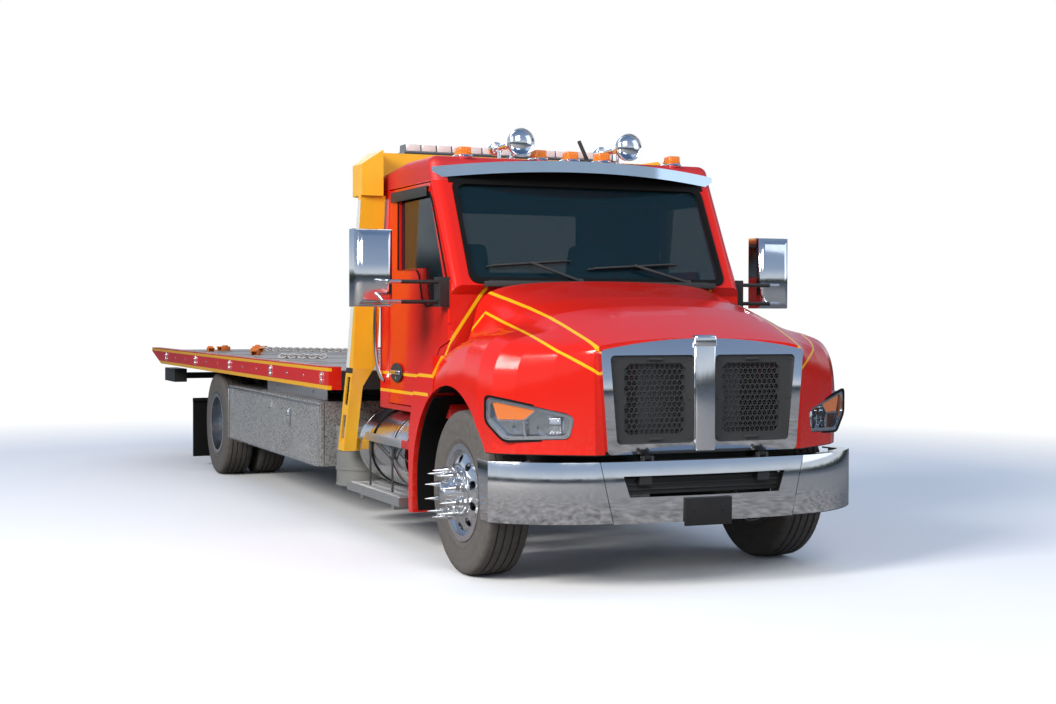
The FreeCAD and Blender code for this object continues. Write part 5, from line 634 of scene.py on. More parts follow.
def banded(loops, step=None, part=None):
    """A band between closed loops with the same number of points, thickened along a step."""
    part = part or bmesh.new()
    rings = [[part.verts.new(at) for at in loop] for loop in loops]
    for outer, inner in zip(rings, rings[1:]):
        for i in range(len(outer)):
            j = (i + 1) % len(outer)
            part.faces.new((outer[i], outer[j], inner[j], inner[i]))
    return thickened(part, step) if step else part


def plate(corners, thick):
    """A flat plate from an outline of points, thickened along Y."""
    part = bmesh.new()
    part.faces.new([part.verts.new(at) for at in corners])
    return thickened(part, (0, thick, 0))


def placed(part, matrix):
    """Moves a part by a matrix."""
    bmesh.ops.transform(part, matrix=matrix, verts=part.verts)
    return part


def flipped(part):
    """The part's mirror image on the other side of the truck."""
    twin = part.copy()
    bmesh.ops.scale(twin, vec=(-1, 1, 1), verts=twin.verts)
    bmesh.ops.reverse_faces(twin, faces=twin.faces)
    return twin


def sided(part, sign):
    """The left part as it is, or its mirror image for the right side."""
    return part if sign > 0 else flipped(part)


def both(*parts):
    """Left parts and their mirror images together."""
    part = merged(*parts)
    return merged(flipped(part), part)


def softened(points, radius, steps=5):
    """A closed outline of flat points with its corners rounded."""
    soft = []
    for number in range(len(points)):
        before, at, after = (Vector(points[(number + shift) % len(points)]) for shift in (-1, 0, 1))
        reach = min(radius, (before - at).length * 0.45, (after - at).length * 0.45)
        start = at + (before - at).normalized() * reach
        end = at + (after - at).normalized() * reach
        for step in range(steps + 1):
            share = step / steps
            soft.append(tuple(start * (1 - share) ** 2 + at * 2 * share * (1 - share) + end * share ** 2))
    return soft


def grown(points, distance):
    """A closed outline moved outward; its points run counter-clockwise."""
    moved = []
    for number in range(len(points)):
        before, at, after = (Vector(points[(number + shift) % len(points)]) for shift in (-1, 0, 1))
        sides = [(end - start).normalized() for start, end in ((before, at), (at, after))]
        normals = [Vector((side.y, -side.x)) for side in sides]
        both_ways = (normals[0] + normals[1]).normalized()
        moved.append(tuple(at + both_ways * distance / max(both_ways.dot(normals[0]), 0.3)))
    return moved


def pipe(name, points, radius, material, body, mirror=False):
    """A bent round bar through a few points."""
    curve = bpy.data.curves.new(name, "CURVE")
    curve.dimensions, curve.bevel_depth, curve.bevel_resolution, curve.use_fill_caps = "3D", radius, 3, True
    spline = curve.splines.new("NURBS")
    spline.points.add(len(points) - 1)
    for point, at in zip(spline.points, points):
        point.co = (*at, 1)
    spline.order_u = 3
    spline.use_endpoint_u = True
    curve.resolution_u = 8
    holder = bpy.data.objects.new(name, curve)
    data = bpy.data.meshes.new_from_object(holder)
    bpy.data.objects.remove(holder)
    mesh = bmesh.new()
    mesh.from_mesh(data)
    bpy.data.meshes.remove(data)
    return keep(name, both(mesh) if mirror else mesh, material, body)


def turned(profile, centre, steps):
    """Spins a closed profile of (x, radius) points about an axis along X."""
    part = bmesh.new()
    first = [part.verts.new((x, radius, 0)) for x, radius in profile]
    edges = [part.edges.new((first[i - 1], first[i])) for i in range(len(first))]
    bmesh.ops.spin(part, geom=first + edges, cent=(0, 0, 0), axis=(1, 0, 0), angle=math.tau, steps=steps,
                   use_merge=True)
    bmesh.ops.remove_doubles(part, verts=part.verts, dist=1e-5)
    bmesh.ops.translate(part, vec=centre, verts=part.verts)
    return part


# %% [markdown]
# A highway truck tyre has straight circumferential grooves, a rounded shoulder and raised rings on its
# sidewall. Spinning one detailed profile makes the whole tyre.

# %% Tyres
TREAD = [(0.0, 0.5045), (0.020, 0.5045), (0.021, 0.491), (0.030, 0.491), (0.031, 0.504), (0.066, 0.503),
         (0.067, 0.490), (0.077, 0.490), (0.078, 0.5025), (0.108, 0.500), (0.122, 0.494), (0.131, 0.480)]
WALL = [(0.134, 0.462), (0.1375, 0.444), (0.1365, 0.440), (0.1395, 0.410), (0.1395, 0.392), (0.137, 0.360),
        (0.133, 0.335), (0.1345, 0.331), (0.131, 0.318), (0.122, 0.3015), (0.1195, 0.2985), (0.1195, 0.2725)]
FRONT_TYRE, OUTER_TYRE, INNER_TYRE, TYRE_STEPS = 1.018, 1.074, 0.734, 96
REAR_AXLE = back(6.73)


def tyre(name, side_x, y, body, replaced, partner_x=None):
    """One tyre, or a pair on one wheel body."""
    half = TREAD + WALL
    profile = [(-x, r) for x, r in reversed(half[1:])] + half
    centres = (side_x,) if partner_x is None else (side_x, partner_x)
    mesh = merged(*[turned(profile, (centre, y, AXLE_HEIGHT), TYRE_STEPS) for centre in centres])
    return keep(name, mesh, "tyre_rubber", body, (replaced,))


for side, sign in SIDES.items():
    tyre(f"tyre_tread_front_{side}", sign * FRONT_TYRE, FRONT_AXLE, f"front_wheel_{side}",
         f"tyre_front_{side}")
    tyre(f"tyre_tread_rear_{side}", sign * OUTER_TYRE, REAR_AXLE, f"rear_wheels_{side}",
         f"tyres_rear_{side}", sign * INNER_TYRE)
print("tyres dressed:", 3 * len(SIDES))

# %% [markdown]
# The front wheels have a bulging disc with ten hand holes, a hub that stands out past the tyre and a long
# spiked cover on every nut. Each sector of the disc is a sheet about one hole; the sheet is then bowed.

# %% Front wheel faces
DISC_IN, DISC_OUT, HOLE_CIRCLE, HOLE_RADIUS, NUT_CIRCLE = 0.162, 0.276, 0.205, 0.027, 0.142
DISC_FACE, DISC_BOW, DISC_WALL, HUB_STEPS = 1.160, 0.060, 0.010, 48
TENTH = math.radians(36)


def sector_edge(middle, steps=8):
    """The outline of a tenth of the disc, as points in the wheel's plane."""
    turns = [middle + TENTH * (step / steps - 0.5) for step in range(steps + 1)]
    radii = [DISC_IN + (DISC_OUT - DISC_IN) * step / 6 for step in range(1, 6)]
    polar = [(DISC_IN, turn) for turn in turns] + [(radius, turns[-1]) for radius in radii]
    polar += [(DISC_OUT, turn) for turn in reversed(turns)]
    polar += [(radius, turns[0]) for radius in reversed(radii)]
    return [Vector((radius * math.sin(turn), radius * math.cos(turn))) for radius, turn in polar]


def pierced_disc():
    """The disc with its hand holes, bowed outward and given its thickness."""
    part = bmesh.new()
    for number in range(10):
        middle = TENTH * number
        hole = Vector((math.sin(middle), math.cos(middle))) * HOLE_CIRCLE
        edge = sector_edge(middle)
        rim = [hole + (point - hole).normalized() * HOLE_RADIUS for point in edge]
        banded([[(0, *point.lerp(near, share)) for point, near in zip(edge, rim)]
                for share in (0, 0.35, 0.7, 1)], part=part)
    bmesh.ops.remove_doubles(part, verts=part.verts, dist=1e-5)
    bmesh.ops.recalc_face_normals(part, faces=part.faces)
    thickened(part, (-DISC_WALL, 0, 0))
    for vert in part.verts:
        share = max(math.hypot(vert.co.y, vert.co.z) - DISC_IN, 0) / (DISC_OUT - DISC_IN)
        vert.co.x += DISC_FACE - DISC_BOW * share ** 1.7
    return part


def spiked_nut(turn):
    """A hexagon nut with a collar and its long pointed cover."""
    y, z = NUT_CIRCLE * math.sin(turn), NUT_CIRCLE * math.cos(turn)
    return merged(rod((1.184, y, z), 0.021, 0.030, "X", 6, edge=0.002),
                  rod((1.203, y, z), 0.023, 0.010, "X", 20, edge=0.002),
                  rod((1.222, y, z), 0.019, 0.030, "X", 20, end_radius=0.0195),
                  rod((1.2845, y, z), 0.0195, 0.095, "X", 20, end_radius=0.0015))


hub = turned([(1.130, 0.002), (1.130, 0.167), (1.166, 0.167), (1.171, 0.161), (1.171, 0.116), (1.176, 0.110),
              (1.204, 0.107), (1.212, 0.098), (1.232, 0.070), (1.238, 0.064), (1.270, 0.061), (1.278, 0.054),
              (1.280, 0.002)], (0, 0, 0), HUB_STEPS)
face = placed(merged(pierced_disc(), hub, *[spiked_nut(TENTH * number) for number in range(10)]),
              Matrix.Translation((0, FRONT_AXLE, AXLE_HEIGHT)))
keep("wheel_face_front_right", flipped(face), "wheel_metal", "front_wheel_right", sharp=50)
keep("wheel_face_front_left", face, "wheel_metal", "front_wheel_left", sharp=50)
print("front wheels dressed:", len(SIDES))

# %% [markdown]
# The grille windows are filled with a honeycomb plate. Six-sided cells are laid edge to edge, each is
# inset, the middles are dropped and the web that remains gets its depth.


# %% Honeycomb grille
def honeycomb(x_range, z_range, y, pitch, web, deep):
    """A plate of six-sided holes in the XZ plane."""
    part = bmesh.new()
    radius = pitch / math.sqrt(3)
    rows = int((z_range[1] - z_range[0]) / (radius * 1.5))
    columns = int((x_range[1] - x_range[0]) / pitch)
    for row in range(rows):
        for column in range(columns):
            x = x_range[0] + pitch * (column + 0.5 + 0.5 * (row % 2))
            z = z_range[0] + radius * (1.5 * row + 1)
            place = Matrix.Translation((x, y, z)) @ Matrix.Rotation(math.pi / 2, 4, "X")
            bmesh.ops.create_circle(part, cap_ends=True, radius=radius, segments=6, matrix=place)
    bmesh.ops.remove_doubles(part, verts=part.verts, dist=pitch / 50)
    cells = list(part.faces)
    bmesh.ops.inset_individual(part, faces=cells, thickness=web)
    bmesh.ops.delete(part, geom=cells, context="FACES")
    return thickened(part, (0, deep, 0))


def panel_ring(outer, inner, y, deep):
    """A flat frame in the XZ plane between two outlines."""
    return banded([[(x, y, z) for x, z in outline] for outline in (outer, inner)], (0, deep, 0))


GRILLE_Y = back(-0.962)
mesh_plate = honeycomb((0.118, 0.560), (0.900, 1.316), GRILLE_Y + 0.0165, 0.0165, 0.0022, 0.003)
screws = merged(*[
    rod((x, GRILLE_Y - 0.002, z), 0.010, 0.006, "Y", 12, edge=0.002)
    for x, z in ((0.095, 1.107), (0.568, 1.107), (0.365, 1.338), (0.335, 0.876),
                 (0.095, 1.335), (0.095, 0.878), (0.545, 0.878), (0.585, 1.335))
])
keep("grille_honeycomb", both(mesh_plate), "black_plastic", "hood")
keep("grille_screws", both(screws), "black_plastic", "hood")
cap = merged(
    block((-0.066, back(-0.990), 0.800), (0.066, back(-0.955), 1.452), 0.012, 3),
    block((-0.072, back(-0.994), 1.405), (0.072, back(-0.940), 1.476), 0.016, 3),
)
keep("grille_bar_cap", cap, "chrome", "hood")

# %% [markdown]
# Behind each clear lens sit an amber turn signal over the outer half, upright flutes inboard, two bulbs
# and the bright lines that divide them. A gasket and a bright rim follow the lamp's outline.

# %% Headlamps
LAMP_TURN = math.atan2(0.272, 0.442)
LAMP_OUTLINE = [(0.031, 0.880), (0.415, 0.868), (0.519, 0.978), (0.519, 1.125), (0.052, 1.030), (0.0, 1.006)]


def lamp_place(along, into, height):
    """A point in the left lamp: metres outboard along its face, inward from the lens, and up."""
    cos, sin = math.cos(LAMP_TURN), math.sin(LAMP_TURN)
    return (0.777 + along * cos - into * sin, back(-0.862) + along * sin + into * cos, height)


def lamp_wedge(outline, into, deep):
    """A flat piece with an outline of (along, height) points, parallel to the lens."""
    part = bmesh.new()
    bottom, top = ([part.verts.new(lamp_place(along, far, height)) for along, height in outline]
                   for far in (into, into + deep))
    part.faces.new(bottom)
    part.faces.new(top)
    bmesh.ops.bridge_loops(part, edges=part.edges[:])
    return part


def lamp_flutes(start, count, low, high):
    """The upright steps of the main reflector, each a half-round rib."""
    ribs = []
    for number in range(count):
        place = lamp_place(start + number * 0.018, 0.052, (low + high) / 2)
        ribs.append(rod(place, 0.009, high - low, "Z", 12, edge=0.003))
    return merged(*ribs)


def lamp_rim(outside, inside, into, deep):
    """A frame that follows the lamp's outline."""
    outlines = (softened(grown(LAMP_OUTLINE, grow), 0.036) for grow in (outside, inside))
    loops = [[lamp_place(along, into, height) for along, height in outline] for outline in outlines]
    return banded(loops, Vector(lamp_place(0, deep, 0)) - Vector(lamp_place(0, 0, 0)))


bulbs = merged(
    rod(lamp_place(0.176, 0.050, 0.948), 0.012, 0.036, "Y", 16, edge=0.005),
    rod(lamp_place(0.372, 0.050, 0.930), 0.010, 0.030, "Y", 16, edge=0.004),
)
amber_unit = lamp_wedge([(0.485, 1.092), (0.232, 1.046), (0.300, 0.990), (0.452, 0.990)], 0.020, 0.036)
trim_line = merged(*[lamp_wedge(outline, 0.014, 0.050) for outline in (
    [(0.306, 0.986), (0.296, 0.986), (0.286, 0.886), (0.296, 0.886)],
    [(0.300, 0.988), (0.300, 0.980), (0.452, 0.980), (0.455, 0.988)],
    [(0.232, 1.046), (0.226, 1.040), (0.296, 0.980), (0.302, 0.988)],
)])
keep("lamp_gaskets", both(lamp_rim(0.009, -0.003, -0.004, 0.012)), "trim_rubber", "hood")
keep("lamp_inner_rims", both(lamp_rim(-0.012, -0.022, 0.010, 0.012)), "chrome", "hood")
keep("lamp_flutes", both(lamp_flutes(0.095, 4, 0.900, 1.000)), "chrome", "hood")
keep("lamp_trim_lines", both(trim_line), "chrome", "hood")
keep("lamp_bulbs", both(bulbs), "lens_clear", "hood")
keep("turn_signals", both(amber_unit), "amber_lens", "hood")
print("headlamps filled:", len(SIDES))

# %% [markdown]
# A rubber frame follows each door's window and a smoked rain visor hangs over it. The chrome paddle handle
# sits in a long black cup, and a grab bar stands behind the door.


# %% Door trim
def ribbon(points, width, thick, side_x):
    """A flat band that follows a closed outline of (y, z) points on the door's face."""
    middle = sum((Vector(at) for at in points), Vector((0, 0))) / len(points)
    loops = [[(side_x, *(Vector(at) + (Vector(at) - middle).normalized() * grow)) for at in points]
             for grow in (0, width)]
    return banded(loops, (thick, 0, 0))


GRAB_BAR = ((1.052, 1.86, 1.900), (1.105, 1.86, 1.895), (1.105, 1.86, 1.150), (1.052, 1.80, 1.120))
PANE = [(0.505, 1.800), (0.520, 1.720), (0.600, 1.672), (0.900, 1.655), (0.985, 1.700), (1.040, 1.860),
        (1.090, 1.895), (1.480, 1.900), (1.480, 2.385), (0.838, 2.385), (0.790, 2.330)]
HANDLE_BACK, HANDLE_HEIGHT = back(1.50), 1.185


def door_trim(side, sign):
    """Window rubber, rain visor, handle and its cup on one door."""
    body = f"door_{side}"
    seal = ribbon([(back(y), z) for y, z in PANE], 0.016, 0.008, 1.0495)
    visor = merged(
        block((1.064, back(0.86), 2.372), (1.072, back(1.60), 2.440), 0.003),
        block((1.052, back(0.86), 2.434), (1.072, back(1.60), 2.442), 0.003),
    )
    cup = merged(rod((0.0650, 0, 0), 0.0600, 0.0016, "X", 40),
                 turned([(0, 0.0600), (0.004, 0.0585), (0.008, 0.0620), (0.006, 0.0665), (0, 0.0680)],
                        (0.060, 0, 0), 40))
    cup = placed(cup, Matrix.Translation((1, HANDLE_BACK, HANDLE_HEIGHT)) @ Matrix.Diagonal((1, 1.8, 1, 1)))
    paddle = merged(block((1.066, back(1.604), 1.172), (1.080, back(1.396), 1.202), 0.006, 3),
                    block((1.064, back(1.520), 1.176), (1.070, back(1.480), 1.198), 0.002),
                    rod((1.067, HANDLE_BACK, 1.148), 0.009, 0.008, "X", 16, edge=0.002))
    for name, part, material, slot in (
        (f"window_rubber_{side}", seal, "trim_rubber", "black_plastic"),
        (f"rain_visor_{side}", visor, "black_plastic", "black_plastic"),
        (f"handle_cup_{side}", cup, "black_plastic", "black_plastic"),
        (f"handle_paddle_{side}", paddle, "chrome", "chrome"),
    ):
        keep(name, sided(part, sign), material, body)


for side, sign in SIDES.items():
    door_trim(side, sign)
    pipe(f"grab_bar_{side}", [(sign * x, back(y), z) for x, y, z in GRAB_BAR], 0.014, "rod_metal",
         "chassis")
print("door trim done")

# %% [markdown]
# The windshield sits in a black seal over a vented cowl, with two wipers parked low on the glass. All of it
# is laid out flat in the glass's own plane, X across and Z up the slope, and then tipped back. The rear
# window has a seal of its own.

# %% Windshield
PIVOT_Z = -0.03
GLASS_TILT = math.atan2(0.353, 0.663)
GLASS_PLACE = Matrix.Translation((0, back(0.433), 1.819)) @ Matrix.Rotation(-GLASS_TILT, 4, "X")


def seal_corners(half_low, half_high, low, high):
    """The outline of the glass: its four corners, rounded."""
    return softened([(-half_low, low), (half_low, low), (half_high, high), (-half_high, high)], 0.075)


def glass_strip(half_low, half_high, y, low, high, thick):
    """A strip across the glass, in the glass's plane."""
    corners = ((-half_low, low), (half_low, low), (half_high, high), (-half_high, high))
    return plate([(x, y, z) for x, z in corners], thick)


seal = panel_ring(seal_corners(0.932, 0.930, -0.040, 0.745), seal_corners(0.905, 0.898, 0.004, 0.708),
                  -0.020, 0.019)
brow = glass_strip(0.950, 0.950, -0.015, 0.720, 0.826, 0.0035)
# A dark strip just behind the top of the glass, under the sun visor, is painted shade.
painted_visor_shade = glass_strip(0.875, 0.870, 0.022, 0.630, 0.705, 0.002)
keep("windshield_seal_and_painted_shade", placed(merged(seal, brow, painted_visor_shade), GLASS_PLACE), "trim_rubber", "chassis")
rear_edge = softened([(-0.522, 1.878), (0.522, 1.878), (0.522, 2.362), (-0.522, 2.362)], 0.05)
rear_seal = panel_ring(grown(rear_edge, 0.012), grown(rear_edge, -0.026), -0.010, 0.006)
rear_seal = placed(rear_seal, Matrix.Translation((0, back(1.904), 0)))
keep("rear_window_seal", rear_seal, "trim_rubber", "chassis")


def wiper(pivot_x, start_x, end_x, low, high):
    """A blade on its holder, and the arm from its pivot to the blade's middle."""
    middle_x, middle_z = (start_x + end_x) / 2, (low + high) / 2
    lean = math.atan2(high - low, end_x - start_x)
    length = math.hypot(end_x - start_x, high - low)
    blade = placed(merged(
        block((-length / 2, -0.016, -0.004), (length / 2, -0.002, 0.004), 0.0015),
        block((-length / 2.3, -0.026, -0.006), (length / 2.3, -0.015, 0.006), 0.003),
    ), GLASS_PLACE @ Matrix.Translation((middle_x, -0.004, middle_z)) @ Matrix.Rotation(-lean, 4, "Y"))
    reach = math.hypot(middle_x - pivot_x, middle_z - PIVOT_Z)
    swing = math.atan2(middle_z - PIVOT_Z, middle_x - pivot_x)
    pivot = GLASS_PLACE @ Matrix.Translation((pivot_x, -0.004, PIVOT_Z))
    arm = block((0, -0.040, -0.009), (reach, -0.026, 0.009), 0.004)
    arm = placed(arm, pivot @ Matrix.Rotation(-swing, 4, "Y"))
    hub = placed(rod((pivot_x, -0.024, PIVOT_Z), 0.020, 0.040, "Y", 20, edge=0.004), GLASS_PLACE)
    return merged(blade, arm, hub)


wipers = merged(wiper(-0.160, -0.800, -0.190, 0.085, 0.135), wiper(0.640, -0.080, 0.600, 0.075, 0.120))
keep("wipers", wipers, "black_plastic", "chassis")
vents = [block((x, back(0.376), 1.806), (x + 0.018, back(0.408), 1.812), 0.002)
         for x in (-0.80 + 0.032 * number for number in range(50))]
keep("cowl_vents", merged(block((-0.840, back(0.366), 1.770), (0.840, back(0.412), 1.807), 0.006), *vents),
     "black_plastic", "chassis")
print("windshield dressed")

# %% [markdown]
# Roof gear: each amber marker stands on a long chrome foot, the horns have domed bells with a driver can
# behind, and the light bar is a row of pale lens modules with dark gaps. A stub aerial leans before it.

# %% Roof gear
MARKERS = (-0.789, -0.239, 0.0, 0.239, 0.789)
feet = [merged(dome((x, back(0.945), 2.646), 0.062, (0.95, 2.0, 0.42), 24),
               block((x - 0.049, back(0.862), 2.6455), (x + 0.049, back(0.985), 2.658), 0.004))
        for x in MARKERS]
hats = [block((x - 0.043, back(0.868), 2.662), (x + 0.043, back(0.958), 2.712), 0.010, 3) for x in MARKERS]
hats += [block((x - 0.002, back(0.866), 2.668), (x + 0.002, back(0.930), 2.704), 0.001)
         for x in (marker + shift for marker in MARKERS for shift in (-0.026, -0.009, 0.009, 0.026))]
keep("marker_feet", merged(*feet), "chrome", "chassis")
keep("marker_lenses", merged(*hats), "amber_lens", "chassis")
bells = both(
    dome((0.405, back(0.846), 2.752), 0.093, (1, 0.62, 1), 32),
    rod((0.405, back(1.288), 2.752), 0.046, 0.070, "Y", 28, edge=0.010),
    rod((0.405, back(1.252), 2.752), 0.030, 0.030, "Y", 20),
    block((0.375, back(1.000), 2.650), (0.435, back(1.190), 2.662), 0.004),
)
keep("horn_bells", bells, "chrome", "chassis")
modules, gaps = [], []
for number in range(14):
    start = -0.836 + number * 0.1196
    modules.append(block((start, back(1.9600), 2.7800), (start + 0.112, back(2.0900), 2.8335), 0.006))
    gaps.append(block((start + 0.1135, back(1.9615), 2.7790), (start + 0.1175, back(2.0885), 2.8300), 0.001))
keep("beacon_modules", merged(*modules), "beacon_pale", "chassis")
tray = block((-0.850, back(1.945), 2.7575), (0.850, back(2.105), 2.7740), 0.004)
keep("beacon_gaps", merged(*gaps[:13], tray), "black_plastic", "chassis")
aerial = placed(block((-0.011, -0.012, 0), (0.011, 0.012, 0.150), 0.004),
                Matrix.Translation((0.262, back(1.20), 2.690)) @ Matrix.Rotation(math.radians(-26), 4, "Y"))
keep("aerial", merged(aerial, rod((0.262, back(1.20), 2.668), 0.026, 0.046, "Z", 20, edge=0.006)),
     "black_plastic", "chassis")
print("roof gear dressed")

# %% [markdown]
# The deck's edge carries five side lights, each a chrome plate with two small lamps, and pairs of domed
# rivets between them. Tie plates and weld lines break up the worn deck.

# %% Deck details
LIGHT_PLACES = (2.58, 4.16, 5.74, 7.33, 8.96)
plates, lamps, rivets = [], [], []
for at in LIGHT_PLACES:
    plates.append(block((1.2945, back(at) - 0.024, 1.068), (1.3005, back(at) + 0.024, 1.158), 0.002))
    for height in (1.092, 1.134):
        plates.append(turned([(0, 0.0175), (0.008, 0.0165), (0.010, 0.0195), (0, 0.0215)],
                             (1.2995, back(at), height), 24))
        lamps.append(dome((1.300, back(at), height), 0.0165, (0.5, 1, 1), 16))
for start, end in zip(LIGHT_PLACES, LIGHT_PLACES[1:]):
    for share in (1 / 3, 2 / 3):
        rivets.append(dome((1.295, back(start + (end - start) * share), 1.113), 0.012, (0.4, 1, 1), 12))
keep("deck_light_plates", both(*plates), "chrome", "deck")
keep("deck_side_lamps", both(*lamps), "amber_lens", "deck")
keep("deck_rivets", both(*rivets), "rod_metal", "deck")
seams = [block((-1.195, back(y) - 0.004, 1.1795), (1.195, back(y) + 0.004, 1.1835), 0.001)
         for y in (3.90, 5.40, 6.90, 8.40)]
keys = [rod((x, back(y), 1.1815), 0.028, 0.004, "Z", 20, edge=0.001)
        for x in (-1.05, 1.05) for y in (3.15, 4.65, 6.15, 7.65)]
keep("deck_seams", merged(*seams), "deck_steel", "deck")
keep("deck_keys", merged(*keys), "dull_metal", "deck")
print("side lights and rivets:", len(LIGHT_PLACES), "and", len(rivets), "on each side")

# %% [markdown]
# The tail lamps hang on the mud flaps: a stop lamp, a tail lamp and a clear reversing lamp on each side.

# %% Tail lamps
bezels = [rod((x, back(7.680), 0.600), 0.058, 0.010, "Y", 28, edge=0.003) for x in (0.790, 0.940, 1.090)]
*reds, clear = [dome((x, back(7.684), 0.600), 0.048, (1, 0.32, 1), 24) for x in (0.790, 0.940, 1.090)]
tail_box = block((0.710, back(7.6500), 0.525), (1.170, back(7.6765), 0.675), 0.008, 3)
keep("tail_lamp_boxes", both(tail_box), "black_plastic", "chassis")
keep("tail_lamp_bezels", both(*bezels), "dull_metal", "chassis")
keep("tail_lamps", both(*reds), "red_lens", "chassis")
keep("reversing_lamps", both(clear), "reflector_pale", "chassis")
print("tail lamps:", len(bezels), "on each side")

# %% [markdown]
# Two chains lie along the deck, with ratchets of orange webbing beside them. Every link is a flattened
# ring, turned a quarter from the one before it, and the row sways a little.


# %% Chains and ratchets
def chain(start, end, links):
    """Links that lie along a line on the deck, each turned a quarter from the last."""
    start, end = Vector(start), Vector(end)
    run = end - start
    heading = Matrix.Rotation(math.atan2(run.y, run.x), 4, "Z")
    parts = []
    for number in range(links):
        link = turned([(-0.006, 0.020), (0.006, 0.020), (0.006, 0.031), (-0.006, 0.031)], (0, 0, 0), 10)
        bmesh.ops.scale(link, vec=(1, 1.5, 1), verts=link.verts)
        roll = Matrix.Rotation(math.radians(50 if number % 2 else -40), 4, "X")
        sway = Vector((0, math.sin(number * 0.9) * 0.012, 0))
        place = Matrix.Translation(start + run * number / links + sway) @ heading @ roll
        parts.append(placed(link, place @ Matrix.Rotation(math.pi / 2, 4, "Z")))
    return merged(*parts)


def ratchet(x, y, turn):
    """A tie-down ratchet: two side plates, a spool of webbing and its handle."""
    parts = [block((-0.070, side * 0.030 - 0.003, 0.0), (0.070, side * 0.030 + 0.003, 0.048), 0.002)
             for side in (-1, 1)]
    parts.append(rod((0.020, 0, 0.034), 0.030, 0.052, "Y", 20))
    parts.append(block((-0.090, -0.026, 0.040), (0.0, 0.026, 0.052), 0.004))
    return placed(merged(*parts), Matrix.Translation((x, back(y), 1.187)) @ Matrix.Rotation(turn, 4, "Z"))


chains = merged(chain((-0.40, back(8.15), 1.212), (0.62, back(6.55), 1.212), 38),
                chain((-0.95, back(5.10), 1.212), (-0.62, back(4.75), 1.212), 9))
ratchets = merged(*[ratchet(*place) for place in (
    (-0.78, 8.35, 0.6), (-0.60, 7.55, 2.0), (-0.90, 6.35, 1.1), (0.66, 6.45, 0.3), (-0.35, 8.50, 2.4),
    (-1.02, 7.90, 1.5),
)])
keep("tie_down_chains", chains, "chain_steel", "deck")
keep("tie_down_ratchets", ratchets, "strap_orange", "deck")
print("chains and ratchets laid")

# %% [markdown]
# The fuel tanks hang in steel straps with dark rubber edges, behind a flat alloy rail that has a red end,
# dark posts and thin braces. The steps have serrated grips and the canister has rolled rims.


# %% Tanks, steps and canister
TANK_X, TANK_HEIGHT = 0.868, 0.640
ALONG_Y = Matrix.Rotation(math.pi / 2, 4, "Z")


def ring(y, radius, width, thick):
    """A flat hoop around a tank, its axis along Y."""
    half, outside = width / 2, radius + thick
    hoop = turned([(-half, radius), (half, radius), (half, outside), (-half, outside)], (0, 0, 0), 64)
    return placed(hoop, Matrix.Translation((TANK_X, back(y), TANK_HEIGHT)) @ ALONG_Y)


def strut(start, end, radius):
    """A thin straight rod between two points."""
    start, end = Vector(start), Vector(end)
    turn = (end - start).to_track_quat("Z", "Y").to_matrix().to_4x4()
    bar = rod((0, 0, 0), radius, (end - start).length, "Z", 12)
    return placed(bar, Matrix.Translation((start + end) / 2) @ turn)


hoops = [ring(y, 0.2775, 0.036, 0.0035) for y in (1.36, 1.84)]
edges = [ring(y, 0.2725, 0.062, 0.0070) for y in (1.36, 1.84)]
seams = [ring(y, 0.2715, 0.006, 0.0025) for y in (1.13, 2.09)]
keep("tank_hoops", both(*hoops, *seams), "chrome", "chassis")
keep("tank_hoop_edges", both(*edges), "trim_rubber", "chassis")
rail = block((1.150, back(1.095), 0.690), (1.166, back(1.900), 0.748), 0.004)
red_end = block((1.149, back(0.830), 0.692), (1.165, back(1.090), 0.746), 0.004)
posts = merged(*[block((1.146, back(y) - 0.018, 0.366), (1.152, back(y) + 0.018, 0.692), 0.002)
                 for y in (1.321, 1.823)])
braces = merged(*[strut((1.152, back(start), high), (1.152, back(end), low), 0.005)
                  for start, high, end, low in ((1.71, 0.690, 1.335, 0.592), (1.19, 0.690, 1.305, 0.592),
                                                (1.19, 0.652, 0.890, 0.590))])
keep("tank_rails", both(rail), "alloy", "chassis")
keep("tank_rail_ends", both(red_end), "red_paint", "chassis")
keep("tank_posts", both(posts, braces), "black_plastic", "chassis")
cap = merged(rod((0.868, back(1.61), 0.985), 0.054, 0.026, "Z", 28, edge=0.006),
             block((0.858, back(1.57), 0.990), (0.878, back(1.65), 1.010), 0.004))
keep("tank_caps", both(cap), "dull_metal", "chassis")
grips = [block((x, y, 0.364), (x + 0.070, y + 0.012, 0.3705), 0.002)
         for x in (0.955, 1.045, 1.130) for y in (back(1.05) + number * 0.062 for number in range(18))]
keep("step_grips", both(*grips), "alloy", "chassis")
rims = merged(*[rod((-0.985, back(2.53), z), radius, height, "Z", 48, edge=0.004)
                for z, radius, height in ((0.312, 0.206, 0.018), (0.602, 0.2035, 0.012),
                                          (0.738, 0.2075, 0.020))])
keep("canister_rims", rims, "canister_grey", "chassis")
print("tanks dressed")

# %% [markdown]
# The toolbox doors have a folded lip and a paddle latch. An alloy skirt closes the space above the front
# half of each box.

